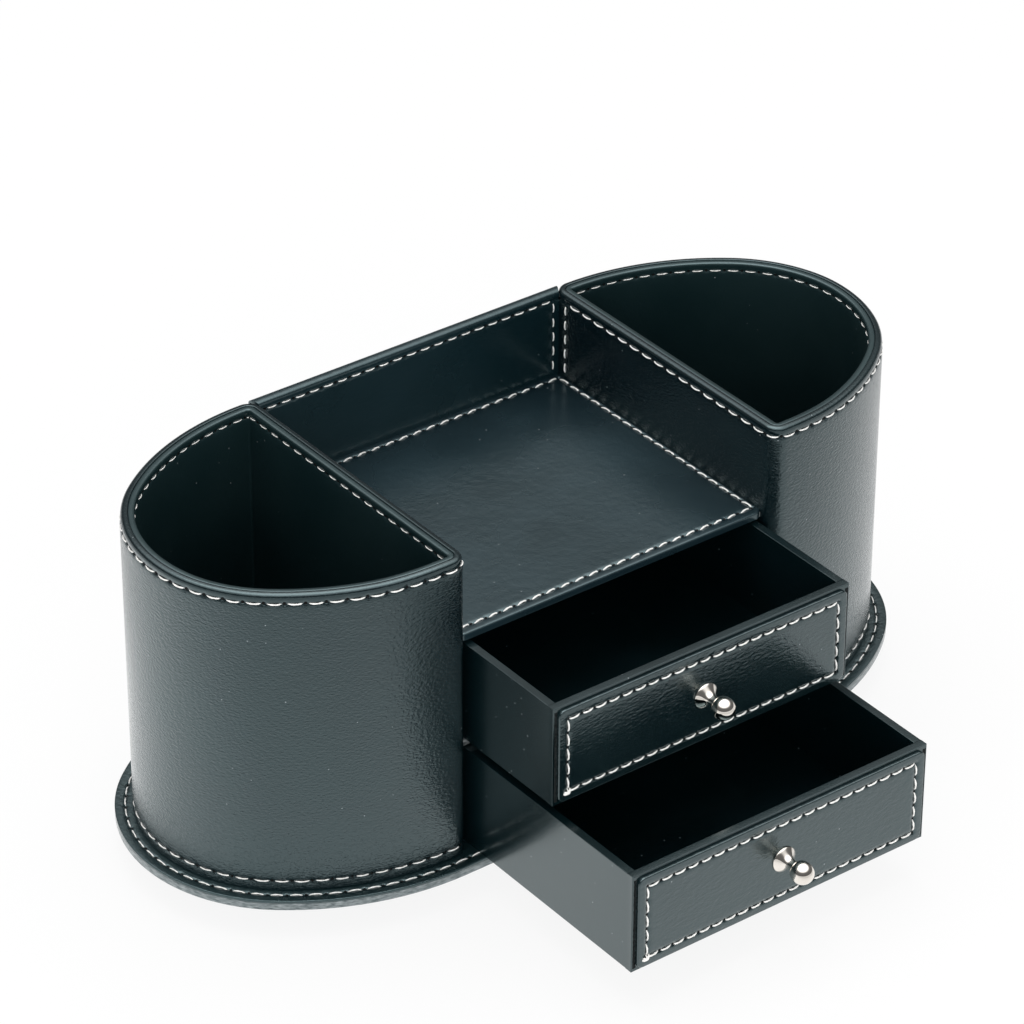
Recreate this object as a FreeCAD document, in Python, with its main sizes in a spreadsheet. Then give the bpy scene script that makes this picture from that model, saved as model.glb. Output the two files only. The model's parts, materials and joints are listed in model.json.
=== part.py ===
import FreeCAD, Part
import math
import os
import re

import Sketcher
from FreeCAD import Rotation, Vector

# Rotating desk organizer: two D-shaped pen cups, a memo tray and two drawers on an oval base that turns on a
# low ball-bearing foot. Millimetres, +Z up. The origin is on the turning axis, at the face that rests on the
# desk. -Y is the front, where the drawers come out. Both drawers are drawn pulled out, as in daily use.

SIZES = {
    # Turntable
    "pad_radius": 39.0,
    "pad_thick": 1.5,
    "foot_radius": 40.0,
    "foot_thick": 3.0,
    "foot_edge_round": 0.8,
    "race_thick": 1.2,
    "race_gap": 1.8,
    "lower_race_radius": 27.5,
    "upper_race_radius": 33.0,
    "ball_ring_radius": 23.5,
    "ball_radius": 1.5,
    "ball_count": 12,
    "groove_play": 0.05,
    "cage_half_width": 3.2,
    "cage_thick": 1.0,
    "pocket_play": 0.1,
    "rivet_radius": 2.95,
    "rivet_flange_radius": 5.0,
    "rivet_flange_thick": 0.9,
    "rivet_play": 0.08,
    "rivet_well_radius": 7.0,
    "screw_shank_radius": 1.15,
    "screw_head_radius": 2.3,
    "screw_head_height": 1.0,
    "screw_bite": 2.0,
    "screw_count": 4,
    "lower_screw_ring": 13.0,
    "upper_screw_ring": 30.0,
    "access_hole_radius": 3.2,
    "screw_head_edge": 0.4,
    # Base and leather
    "leather_thick": 0.8,
    "base_board_thick": 2.4,
    "base_overhang": 4.9,
    "base_edge_round": 0.7,
    "base_leather_round": 0.4,
    # Cups
    "tray_half_width": 50.0,
    "cup_half_depth": 48.5,
    "cup_side_radius": 73.0,
    "cup_end_shift": 20.0,
    "cup_corner_radius": 4.6,
    "cup_wall_height": 92.1,
    "cup_board_thick": 2.4,
    "cup_floor_thick": 2.4,
    "rim_cap": 1.6,
    "rim_outer_round": 1.4,
    "rim_inner_round": 1.1,
    "cup_screw_radius": 1.4,
    "cup_screw_head_radius": 2.8,
    "cup_screw_cone": 1.5,
    "cup_screw_bite": 1.9,
    "cup_screw_near": 66.0,
    "cup_screw_far": 100.0,
    "cup_screw_spread": 28.0,
    # Back wall, tray and shelf
    "wall_board_thick": 1.8,
    "wall_top_round": 1.3,
    "tray_board_thick": 1.4,
    "tray_setback": 4.15,
    "shelf_thick": 2.3,
    "shelf_front_round": 0.9,
    "tray_lip_round": 1.2,
    # Drawers
    "drawer_side_play": 1.25,
    "drawer_height": 29.9,
    "drawer_length": 92.0,
    "drawer_glide_play": 0.2,
    "drawer_head_room": 0.3,
    "tray_head_room": 0.6,
    "drawer_front_setback": 0.5,
    "drawer_side_thick": 2.4,
    "drawer_front_thick": 2.4,
    "drawer_bottom_thick": 1.6,
    "drawer_bottom_raise": 1.0,
    "drawer_groove": 1.0,
    "upper_drawer_pull": 33.9,
    "lower_drawer_pull": 67.1,
    # Drawer front pads, knobs and their screws
    "front_pad_thick": 1.0,
    "front_pad_side_margin": 1.7,
    "front_pad_top_margin": 1.6,
    "front_pad_bottom_margin": 1.5,
    "front_pad_corner": 1.2,
    "front_pad_round": 0.5,
    "knob_length": 10.7,
    "knob_flange_radius": 3.7,
    "knob_rim": 0.5,
    "knob_bell_length": 1.7,
    "knob_bell_radius": 2.35,
    "knob_neck_start": 2.7,
    "knob_neck_end": 4.9,
    "knob_neck_radius": 1.5,
    "knob_flare_radius": 1.3,
    "knob_bulge_radius": 2.0,
    "knob_head_radius": 3.15,
    "knob_bore_radius": 0.95,
    "knob_bore_depth": 5.0,
    "knob_screw_radius": 0.9,
    "knob_screw_bite": 4.6,
    "knob_screw_head_radius": 2.0,
    "knob_screw_head_height": 1.2,
}

# Levels and places that follow from the sizes above.
DERIVED = {
    "race_seat": "pad_thick + foot_thick",
    "lower_race_top": "race_seat + race_thick",
    "ball_level": "lower_race_top + race_gap / 2",
    "upper_race_under": "lower_race_top + race_gap",
    "base_under": "upper_race_under + race_thick",
    "base_leather_under": "base_under + base_board_thick",
    "deck_level": "base_leather_under + leather_thick",
    "rim_level": "deck_level + cup_wall_height",
    "cap_under": "rim_level - rim_cap",
    "cup_floor_top": "deck_level + cup_floor_thick",
    "groove_radius": "ball_radius + groove_play",
    "groove_half_width": "sqrt(groove_radius ^ 2 - (race_gap / 2) ^ 2)",
    "race_bore": "rivet_radius + rivet_play",
    "cup_board_outside": "leather_thick",
    "cup_board_inside": "leather_thick + cup_board_thick",
    "cup_inside": "leather_thick + cup_board_thick + leather_thick",
    "straight_end": "tray_half_width + cup_corner_radius",
    "side_centre": "cup_side_radius - cup_half_depth",
    "centre_distance": "sqrt(cup_end_shift ^ 2 + side_centre ^ 2)",
    "back_front_face": "cup_half_depth - wall_board_thick - 2 * leather_thick",
    "tray_front": "cup_half_depth - tray_setback",
    "drawer_half_width": "tray_half_width - drawer_side_play",
    "lower_drawer_floor": "deck_level + drawer_glide_play",
    "shelf_under": "lower_drawer_floor + drawer_height + drawer_head_room",
    "shelf_top": "shelf_under + shelf_thick",
    "upper_drawer_floor": "shelf_top + drawer_glide_play",
    "tray_board_under": "upper_drawer_floor + drawer_height + tray_head_room",
    "tray_board_top": "tray_board_under + tray_board_thick",
    "tray_level": "tray_board_top + leather_thick",
    "drawer_inner_half_width": "drawer_half_width - drawer_side_thick",
    "front_height_centre": "drawer_height / 2 + (front_pad_bottom_margin - front_pad_top_margin) / 2",
    "knob_head_centre": "knob_length - knob_head_radius",
    "knob_head_rise": "knob_head_radius - knob_neck_radius",
    "knob_head_run": "knob_head_centre - knob_neck_end",
    "knob_shoulder_radius": "(knob_head_run ^ 2 + knob_head_rise ^ 2) / (2 * knob_head_rise)",
}

doc = FreeCAD.newDocument("DeskOrganizer")
sheet = doc.addObject("Spreadsheet::Sheet", "Sizes")
for row, (size_name, size_value) in enumerate(SIZES.items(), start=1):
    sheet.set(f"A{row}", size_name)
    sheet.set(f"B{row}", str(size_value))
    sheet.setAlias(f"B{row}", size_name)
doc.recompute()

sub_parts = []

# Two places closer than this count as one.
TOUCH = 0.001


def full(words):
    """The expression with every size name pointed at the sheet and every derived name spelled out."""
    def spell(match):
        name = match.group(0)
        if name in DERIVED:
            return "(" + full(DERIVED[name]) + ")"
        return "Sizes." + name
    return re.sub(r"[a-z]+(?:_[a-z]+)+", spell, words)


def number(words):
    """The value of an expression, for a starting position or a shape made in code."""
    value = sheet.evalExpression(full(words))
    return float(getattr(value, "Value", value))


def bind(thing, **bindings):
    """Tie properties to expressions. A double underscore in a keyword stands for a dot."""
    for prop, words in bindings.items():
        thing.setExpression(prop.replace("__", "."), full(words))


def keep(thing, label):
    """Name a finished sub-part and put it on the list of pieces."""
    thing.Label = label
    sub_parts.append(thing)
    return thing


def new_body(name, several=False):
    """An empty body, which may hold several separate solids, such as a ring of screws."""
    body = doc.addObject("PartDesign::Body", name)
    body.AllowCompound = several
    return body


def origin_part(body, role):
    """One of a body's own origin planes or axes."""
    return [part for part in body.Origin.OriginFeatures if part.Role == role][0]


def sketch_on(body, name, plane, offset="0"):
    """A sketch on one of the body's own origin planes, moved along the plane's normal."""
    sketch = body.newObject("Sketcher::SketchObject", name)
    sketch.AttachmentSupport = [(origin_part(body, plane), "")]
    sketch.MapMode = "FlatFace"
    bind(sketch, AttachmentOffset__Base__z=offset)
    return sketch


def hold(sketch, kind, line, end, words):
    """Fix one coordinate of a point in a sketch: on the axis, or at a distance that the sheet gives."""
    if words == "0":
        axis = {"DistanceX": -2, "DistanceY": -1}[kind]
        sketch.addConstraint(Sketcher.Constraint("PointOnObject", line, end, axis))
        return
    place = sketch.addConstraint(Sketcher.Constraint(kind, -1, 1, line, end, number(words)))
    sketch.setExpression(f"Constraints[{place}]", full(words))


def arc_between(start, finish, side, radius):
    """The short arc from start to finish whose centre lies on the given side of the way there."""
    half = (finish - start) / 2
    across = Vector(-half.y, half.x, 0).normalize()
    depth = math.sqrt(max(0, radius ** 2 - half.Length ** 2))
    centre = start + half + across * (depth if side == "left" else -depth)
    first, last = (start, finish) if side == "left" else (finish, start)
    angles = [math.atan2(point.y - centre.y, point.x - centre.x) for point in (first, last)]
    if angles[1] <= angles[0]:
        angles[1] += 2 * math.pi
    return Part.ArcOfCircle(Part.Circle(centre, Vector(0, 0, 1), radius), *angles)


def outline(sketch, corners):
    """Draw a closed outline through corners, each (across, up). A corner with a side and a radius behind
    them starts an arc to the next corner, and its centre lies on that side."""
    places = [Vector(number(corner[0]), number(corner[1]), 0) for corner in corners]
    stretches = []
    for index, corner in enumerate(corners):
        start = places[index]
        finish = places[(index + 1) % len(corners)]
        if len(corner) == 2:
            stretches.append((sketch.addGeometry(Part.LineSegment(start, finish)), 1, 2))
            continue
        side, radius = corner[2], corner[3]
        arc = sketch.addGeometry(arc_between(start, finish, side, number(radius)))
        stretches.append((arc, 1, 2) if side == "left" else (arc, 2, 1))
        limit = sketch.addConstraint(Sketcher.Constraint("Radius", arc, number(radius)))
        sketch.setExpression(f"Constraints[{limit}]", full(radius))
    for index, corner in enumerate(corners):
        line, start, finish = stretches[index]
        before = stretches[index - 1]
        sketch.addConstraint(Sketcher.Constraint("Coincident", before[0], before[2], line, start))
        hold(sketch, "DistanceX", line, start, corner[0])
        hold(sketch, "DistanceY", line, start, corner[1])


def circle(sketch, across, up, radius):
    """Draw a circle whose centre and radius follow the sheet."""
    centre = Vector(number(across), number(up), 0)
    ring = sketch.addGeometry(Part.Circle(centre, Vector(0, 0, 1), number(radius)))
    limit = sketch.addConstraint(Sketcher.Constraint("Radius", ring, number(radius)))
    sketch.setExpression(f"Constraints[{limit}]", full(radius))
    hold(sketch, "DistanceX", ring, 3, across)
    hold(sketch, "DistanceY", ring, 3, up)


def pad(body, sketch, length, away=False):
    """Raise a sketch along its plane's normal, or away from it."""
    feature = body.newObject("PartDesign::Pad", sketch.Name + "_pad")
    feature.Profile = sketch
    feature.Reversed = away
    bind(feature, Length=length)
    return feature


def pocket(body, sketch, depth, upwards=False):
    """Sink a sketch into the body, against its plane's normal, or along it."""
    feature = body.newObject("PartDesign::Pocket", sketch.Name + "_pocket")
    feature.Profile = sketch
    feature.Reversed = upwards
    bind(feature, Length=depth)
    return feature


def turn(body, sketch, axis_at="0"):
    """Revolve a sketch on the XZ plane about an upright axis at the given distance."""
    axis = "V_Axis"
    if axis_at != "0":
        foot = Vector(number(axis_at), 0, 0)
        tip = Vector(number(axis_at), number("ball_ring_radius"), 0)
        line = sketch.addGeometry(Part.LineSegment(foot, tip), True)
        hold(sketch, "DistanceX", line, 1, axis_at)
        hold(sketch, "DistanceX", line, 2, axis_at)
        hold(sketch, "DistanceY", line, 1, "0")
        hold(sketch, "DistanceY", line, 2, "ball_ring_radius")
        axis = "Axis0"
    feature = body.newObject("PartDesign::Revolution", sketch.Name + "_turn")
    feature.Profile = sketch
    feature.ReferenceAxis = (sketch, [axis])
    feature.Angle = 360
    return feature


def around(body, feature, count):
    """Repeat a feature evenly round the body's Z axis."""
    pattern = body.newObject("PartDesign::PolarPattern", feature.Name + "_ring")
    pattern.Originals = [feature]
    pattern.Axis = (origin_part(body, "Z_Axis"), [""])
    pattern.Angle = 360
    bind(pattern, Occurrences=count)
    body.Tip = pattern
    return pattern


def face_at(shape, axis, place):
    """The flat face square to an axis at the given place along it."""
    for face in shape.Faces:
        box = face.BoundBox
        low, high = {"Y": (box.YMin, box.YMax), "Z": (box.ZMin, box.ZMax)}[axis]
        if abs(low - place) < TOUCH and abs(high - place) < TOUCH:
            return face
    raise ValueError(f"no face across {axis} at {place}")


def round_rim(body, feature, radius, axis, place, inner=False):
    """Fillet the outer, or the inner, edges of the face at that place."""
    doc.recompute()
    face = face_at(feature.Shape, axis, number(place))
    wires = [wire for wire in face.Wires if wire.isSame(face.OuterWire) != inner]
    rim = [edge for wire in wires for edge in wire.Edges]
    numbered = enumerate(feature.Shape.Edges, start=1)
    names = [f"Edge{index}" for index, edge in numbered if any(edge.isSame(other) for other in rim)]
    fillet = body.newObject("PartDesign::Fillet", feature.Name + "_round")
    fillet.Base = (feature, names)
    bind(fillet, Radius=radius)
    return fillet


def block(name, low, size):
    """A box from its low corner and its size, each three expressions."""
    box = doc.addObject("Part::Box", name)
    bind(box, Length=size[0], Width=size[1], Height=size[2])
    bind(box, Placement__Base__x=low[0], Placement__Base__y=low[1], Placement__Base__z=low[2])
    return box


def less(name, base, *tools):
    """The base with one or more tools cut out of it."""
    for index, tool in enumerate(tools):
        cut = doc.addObject("Part::Cut", f"{name}_cut_{index}")
        cut.Base = base
        cut.Tool = tool
        base = cut
    return base


# Turntable foot

foot_pad = doc.addObject("Part::Cylinder", "foot_pad")
bind(foot_pad, Radius="pad_radius", Height="pad_thick")
keep(foot_pad, "foot_pad")


def pan_screws(name, ring, seat, head, shank):
    """A ring of pan-head screws, heads on one side of the seat and shanks on the other."""
    body = new_body(name, several=True)
    profile = sketch_on(body, name + "_profile", "XZ_Plane")
    top = f"{seat} {head} screw_head_height"
    outline(profile, [
        (ring, f"{seat} {shank}"),
        (f"{ring} + screw_shank_radius", f"{seat} {shank}"),
        (f"{ring} + screw_shank_radius", seat),
        (f"{ring} + screw_head_radius", seat),
        (f"{ring} + screw_head_radius", f"{top} - ({head} screw_head_edge)"),
        (f"{ring} + screw_head_radius - screw_head_edge", top),
        (ring, top),
    ])
    around(body, turn(body, profile, ring), "screw_count")
    return keep(body, name)


lower_race_screws = pan_screws(
    "lower_race_screws", "lower_screw_ring", "lower_race_top", "+", "- race_thick - screw_bite")

# The rivet is the axle: its lower flange sits in the foot disc, its upper one holds the turning race down.
pivot_rivet = new_body("pivot_rivet")
rivet_profile = sketch_on(pivot_rivet, "rivet_profile", "XZ_Plane")
outline(rivet_profile, [
    ("0", "race_seat - rivet_flange_thick"),
    ("rivet_flange_radius", "race_seat - rivet_flange_thick"),
    ("rivet_flange_radius", "race_seat"),
    ("rivet_radius", "race_seat"),
    ("rivet_radius", "base_under + rivet_play"),
    ("rivet_flange_radius", "base_under + rivet_play"),
    ("rivet_flange_radius", "base_under + rivet_play + rivet_flange_thick"),
    ("0", "base_under + rivet_play + rivet_flange_thick"),
])
turn(pivot_rivet, rivet_profile)
keep(pivot_rivet, "pivot_rivet")

foot_blank = new_body("foot_blank")
foot_profile = sketch_on(foot_blank, "foot_profile", "XZ_Plane")
outline(foot_profile, [
    ("0", "pad_thick"),
    ("foot_radius", "pad_thick"),
    ("foot_radius", "race_seat - foot_edge_round", "left", "foot_edge_round"),
    ("foot_radius - foot_edge_round", "race_seat"),
    ("0", "race_seat"),
])
turn(foot_blank, foot_profile)
access_hole = sketch_on(foot_blank, "access_hole", "XY_Plane", "pad_thick")
circle(access_hole, "upper_screw_ring", "0", "access_hole_radius")
around(foot_blank, pocket(foot_blank, access_hole, "foot_thick", upwards=True), "screw_count")
foot_disc = keep(less("foot_disc", foot_blank, pivot_rivet, lower_race_screws), "foot_disc")


def race(name, bore, outer, flat, grooved):
    """A flat bearing ring with a ball groove in its face at the grooved level."""
    body = new_body(name)
    profile = sketch_on(body, name + "_profile", "XZ_Plane")
    near = "ball_ring_radius - groove_half_width"
    far = "ball_ring_radius + groove_half_width"
    ball_side = "right" if number(grooved) > number(flat) else "left"
    outline(profile, [
        (bore, flat),
        (outer, flat),
        (outer, grooved),
        (far, grooved, ball_side, "groove_radius"),
        (near, grooved),
        (bore, grooved),
    ])
    turn(body, profile)
    return body


lower_race_blank = race("lower_race_blank", "rivet_radius", "lower_race_radius", "race_seat", "lower_race_top")
lower_race = keep(less("lower_race", lower_race_blank, lower_race_screws), "lower_race")

# Bearing cage and balls

ball_cage = new_body("ball_cage")
cage_ring = sketch_on(ball_cage, "cage_ring", "XY_Plane", "ball_level - cage_thick / 2")
circle(cage_ring, "0", "0", "ball_ring_radius + cage_half_width")
circle(cage_ring, "0", "0", "ball_ring_radius - cage_half_width")
pad(ball_cage, cage_ring, "cage_thick")
ball_pocket = sketch_on(ball_cage, "ball_pocket", "XY_Plane", "ball_level - cage_thick / 2")
circle(ball_pocket, "ball_ring_radius", "0", "ball_radius + pocket_play")
around(ball_cage, pocket(ball_cage, ball_pocket, "cage_thick", upwards=True), "ball_count")
keep(ball_cage, "ball_cage")

bearing_balls = new_body("bearing_balls", several=True)
ball_profile = sketch_on(bearing_balls, "ball_profile", "XZ_Plane")
outline(ball_profile, [
    ("ball_ring_radius", "ball_level - ball_radius", "left", "ball_radius"),
    ("ball_ring_radius + ball_radius", "ball_level", "left", "ball_radius"),
    ("ball_ring_radius", "ball_level + ball_radius"),
])
around(bearing_balls, turn(bearing_balls, ball_profile, "ball_ring_radius"), "ball_count")
keep(bearing_balls, "bearing_balls")

# Upper race, base board and its leather

upper_race_screws = pan_screws(
    "upper_race_screws", "upper_screw_ring", "upper_race_under", "-", "+ race_thick + screw_bite")
upper_race_blank = race("upper_race_blank", "race_bore", "upper_race_radius", "base_under", "upper_race_under")
upper_race = keep(less("upper_race", upper_race_blank, upper_race_screws), "upper_race")


def cup_curve(inset):
    """The places and radii of a cup's curved wall, moved inwards by an inset."""
    side = f"(cup_side_radius - ({inset}))"
    return {
        "depth": f"(cup_half_depth - ({inset}))",
        "side": side,
        "end": f"cup_side_radius - centre_distance - ({inset})",
        "join_across": f"straight_end + {side} * cup_end_shift / centre_distance",
        "join_up": f"({side} * side_centre / centre_distance - side_centre)",
    }


def oval(sketch, inset):
    """The base's outline: both cups' curves joined by straight stretches."""
    curve = cup_curve(inset)
    left_join = f"-({curve['join_across']})"
    outline(sketch, [
        ("straight_end", f"-{curve['depth']}", "left", curve["side"]),
        (curve["join_across"], f"-{curve['join_up']}", "left", curve["end"]),
        (curve["join_across"], curve["join_up"], "left", curve["side"]),
        ("straight_end", curve["depth"]),
        ("-straight_end", curve["depth"], "left", curve["side"]),
        (left_join, curve["join_up"], "left", curve["end"]),
        (left_join, f"-{curve['join_up']}", "left", curve["side"]),
        ("-straight_end", f"-{curve['depth']}"),
    ])


def cup_outline(sketch, inset):
    """A cup's D-shaped outline: flat wall by the tray, rounded corners and the curved wall."""
    curve = cup_curve(inset)
    flat = f"tray_half_width + {inset}"
    bend = f"(cup_corner_radius - ({inset}))"
    outline(sketch, [
        (flat, f"-({curve['depth']} - {bend})", "left", bend),
        ("straight_end", f"-{curve['depth']}", "left", curve["side"]),
        (curve["join_across"], f"-{curve['join_up']}", "left", curve["end"]),
        (curve["join_across"], curve["join_up"], "left", curve["side"]),
        ("straight_end", curve["depth"], "left", bend),
        (flat, f"{curve['depth']} - {bend}"),
    ])


def cup_screw(name, across, up):
    """A countersunk screw from under the base board into a cup's floor."""
    shank = doc.addObject("Part::Cylinder", name + "_shank")
    length = "base_board_thick + leather_thick + cup_screw_bite"
    bind(shank, Radius="cup_screw_radius", Height=length)
    head = doc.addObject("Part::Cone", name + "_head")
    bind(head, Radius1="cup_screw_head_radius", Radius2="cup_screw_radius", Height="cup_screw_cone")
    for piece in (shank, head):
        bind(piece, Placement__Base__x=across, Placement__Base__y=up, Placement__Base__z="base_under")
    screw = doc.addObject("Part::Fuse", name)
    screw.Base = shank
    screw.Tool = head
    return screw


cup_screws = doc.addObject("Part::Compound", "cup_screws")
cup_screws.Links = [
    cup_screw(f"cup_screw_{side}_{place}", f"{sign}{across}", up)
    for side, sign in (("left", "-"), ("right", ""))
    for place, across, up in (
        ("front", "cup_screw_near", "-cup_screw_spread"),
        ("rear", "cup_screw_near", "cup_screw_spread"),
        ("end", "cup_screw_far", "0"),
    )
]
keep(cup_screws, "cup_screws")

board_blank = new_body("board_blank")
board_outline = sketch_on(board_blank, "board_outline", "XY_Plane", "base_under")
oval(board_outline, "-base_overhang")
board_pad = pad(board_blank, board_outline, "base_board_thick")
round_rim(board_blank, board_pad, "base_edge_round", "Z", "base_under")
rivet_well = sketch_on(board_blank, "rivet_well", "XY_Plane", "base_under")
circle(rivet_well, "0", "0", "rivet_well_radius")
pocket(board_blank, rivet_well, "base_board_thick", upwards=True)
base_board = keep(less("base_board", board_blank, upper_race_screws, cup_screws), "base_board")

leather_blank = new_body("leather_blank")
leather_outline = sketch_on(leather_blank, "leather_outline", "XY_Plane", "base_leather_under")
oval(leather_outline, "-base_overhang")
leather_pad = pad(leather_blank, leather_outline, "leather_thick")
round_rim(leather_blank, leather_pad, "base_leather_round", "Z", "deck_level")
base_leather = keep(less("base_leather", leather_blank, cup_screws), "base_leather")

# Cups: the right one is drawn, the left one is its mirror image.

floor_blank = new_body("floor_blank")
floor_outline = sketch_on(floor_blank, "floor_outline", "XY_Plane", "deck_level")
cup_outline(floor_outline, "cup_board_inside")
pad(floor_blank, floor_outline, "cup_floor_thick")
cup_floor = less("right_cup_floor", floor_blank, cup_screws)

cup_board = new_body("right_cup_board")
cup_board_outline = sketch_on(cup_board, "cup_board_outline", "XY_Plane", "deck_level")
cup_outline(cup_board_outline, "cup_board_outside")
cup_outline(cup_board_outline, "cup_board_inside")
pad(cup_board, cup_board_outline, "cap_under - deck_level")

# The outer leather covers the curved and the flat wall and folds over the board to the lining.
cup_leather = new_body("right_cup_leather")
cup_leather_outline = sketch_on(cup_leather, "cup_leather_outline", "XY_Plane", "deck_level")
cup_outline(cup_leather_outline, "0")
cup_outline(cup_leather_outline, "cup_board_outside")
pad(cup_leather, cup_leather_outline, "cap_under - deck_level")
rim_outline = sketch_on(cup_leather, "rim_outline", "XY_Plane", "cap_under")
cup_outline(rim_outline, "0")
cup_outline(rim_outline, "cup_inside")
rim_pad = pad(cup_leather, rim_outline, "rim_cap")
rim_outer = round_rim(cup_leather, rim_pad, "rim_outer_round", "Z", "rim_level")
round_rim(cup_leather, rim_outer, "rim_inner_round", "Z", "rim_level", inner=True)

cup_lining = new_body("right_cup_lining")
cup_lining_outline = sketch_on(cup_lining, "cup_lining_outline", "XY_Plane", "cup_floor_top")
cup_outline(cup_lining_outline, "cup_board_inside")
cup_outline(cup_lining_outline, "cup_inside")
pad(cup_lining, cup_lining_outline, "cap_under - cup_floor_top")

for piece, label in (
    (cup_floor, "cup_floor"),
    (cup_board, "cup_board"),
    (cup_leather, "cup_leather"),
    (cup_lining, "cup_lining"),
):
    keep(piece, "right_" + label)
    twin = doc.addObject("Part::Mirroring", "left_" + label)
    twin.Source = piece
    twin.Normal = Vector(1, 0, 0)
    keep(twin, "left_" + label)

# Back wall, shelf and tray between the cups


def strip(name, corners):
    """A piece of one section from cup to cup, drawn as its outline seen from the right."""
    body = new_body(name)
    section = sketch_on(body, name + "_section", "YZ_Plane", "-tray_half_width")
    outline(section, corners)
    pad(body, section, "2 * tray_half_width")
    return keep(body, name)


back_board = block(
    "back_board",
    ("-tray_half_width", "back_front_face + leather_thick", "deck_level"),
    ("2 * tray_half_width", "wall_board_thick", "cup_wall_height - leather_thick"))
keep(back_board, "back_board")

strip("back_leather", [
    ("back_front_face", "deck_level"),
    ("back_front_face", "rim_level - wall_top_round", "right", "wall_top_round"),
    ("back_front_face + wall_top_round", "rim_level"),
    ("cup_half_depth - wall_top_round", "rim_level", "right", "wall_top_round"),
    ("cup_half_depth", "rim_level - wall_top_round"),
    ("cup_half_depth", "deck_level"),
    ("cup_half_depth - leather_thick", "deck_level"),
    ("cup_half_depth - leather_thick", "rim_level - leather_thick"),
    ("back_front_face + leather_thick", "rim_level - leather_thick"),
    ("back_front_face + leather_thick", "deck_level"),
])

strip("middle_shelf", [
    ("back_front_face", "shelf_under"),
    ("back_front_face", "shelf_top"),
    ("shelf_front_round - tray_front", "shelf_top", "left", "shelf_front_round"),
    ("-tray_front", "shelf_top - shelf_front_round"),
    ("-tray_front", "shelf_under + shelf_front_round", "left", "shelf_front_round"),
    ("shelf_front_round - tray_front", "shelf_under"),
])

tray_board = block(
    "tray_board",
    ("-tray_half_width", "leather_thick - tray_front", "tray_board_under"),
    ("2 * tray_half_width", "tray_front + back_front_face - leather_thick", "tray_board_thick"))
keep(tray_board, "tray_board")

strip("tray_leather", [
    ("back_front_face", "tray_board_top"),
    ("back_front_face", "tray_level"),
    ("tray_lip_round - tray_front", "tray_level", "left", "tray_lip_round"),
    ("-tray_front", "tray_level - tray_lip_round"),
    ("-tray_front", "tray_board_under"),
    ("leather_thick - tray_front", "tray_board_under"),
    ("leather_thick - tray_front", "tray_board_top"),
])

# Drawers


def turned_piece(name, corners, front, height):
    """A piece turned about its own Z axis, then laid with that axis pointing out of the drawer front."""
    body = new_body(name)
    profile = sketch_on(body, name + "_profile", "XZ_Plane")
    outline(profile, corners)
    turn(body, profile)
    body.Placement.Rotation = Rotation(Vector(1, 0, 0), 90)
    bind(body, Placement__Base__y=front, Placement__Base__z=height)
    return keep(body, name)


def knob(name, front, height):
    """A turned knob: flared bell, neck and round head, with a blind bore for its screw."""
    return turned_piece(name, [
        ("0", "knob_bore_depth"),
        ("knob_bore_radius", "knob_bore_depth"),
        ("knob_bore_radius", "0"),
        ("knob_flange_radius", "0"),
        ("knob_flange_radius", "knob_rim", "left", "knob_bulge_radius"),
        ("knob_bell_radius", "knob_bell_length", "right", "knob_flare_radius"),
        ("knob_neck_radius", "knob_neck_start"),
        ("knob_neck_radius", "knob_neck_end", "left", "knob_shoulder_radius"),
        ("knob_head_radius", "knob_head_centre", "left", "knob_head_radius"),
        ("0", "knob_length"),
    ], front, height)


def knob_screw(name, front, height):
    """The pan-head screw that holds a knob from inside the drawer."""
    seat = "-(front_pad_thick + drawer_front_thick)"
    head = "-(front_pad_thick + drawer_front_thick + knob_screw_head_height)"
    return turned_piece(name, [
        ("0", "knob_screw_bite"),
        ("knob_screw_radius", "knob_screw_bite"),
        ("knob_screw_radius", seat),
        ("knob_screw_head_radius", seat),
        ("knob_screw_head_radius", f"{head} + screw_head_edge"),
        ("knob_screw_head_radius - screw_head_edge", head),
        ("0", head),
    ], front, height)


def front_pad(name, floor, reach):
    """The padded leather panel on a drawer front, with rounded corners and edges."""
    body = new_body(name)
    panel = sketch_on(body, name + "_panel", "XZ_Plane", reach)
    half = "(drawer_half_width - front_pad_side_margin)"
    low = f"{floor} + front_pad_bottom_margin"
    high = f"{floor} + drawer_height - front_pad_top_margin"
    turn_in = f"{half} - front_pad_corner"
    outline(panel, [
        (f"-({turn_in})", low),
        (turn_in, low, "left", "front_pad_corner"),
        (half, f"{low} + front_pad_corner"),
        (half, f"{high} - front_pad_corner", "left", "front_pad_corner"),
        (turn_in, high),
        (f"-({turn_in})", high, "left", "front_pad_corner"),
        (f"-{half}", f"{high} - front_pad_corner"),
        (f"-{half}", f"{low} + front_pad_corner", "left", "front_pad_corner"),
    ])
    raised = pad(body, panel, "front_pad_thick")
    round_rim(body, raised, "front_pad_round", "Y", f"-({reach} + front_pad_thick)")
    return body


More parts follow.
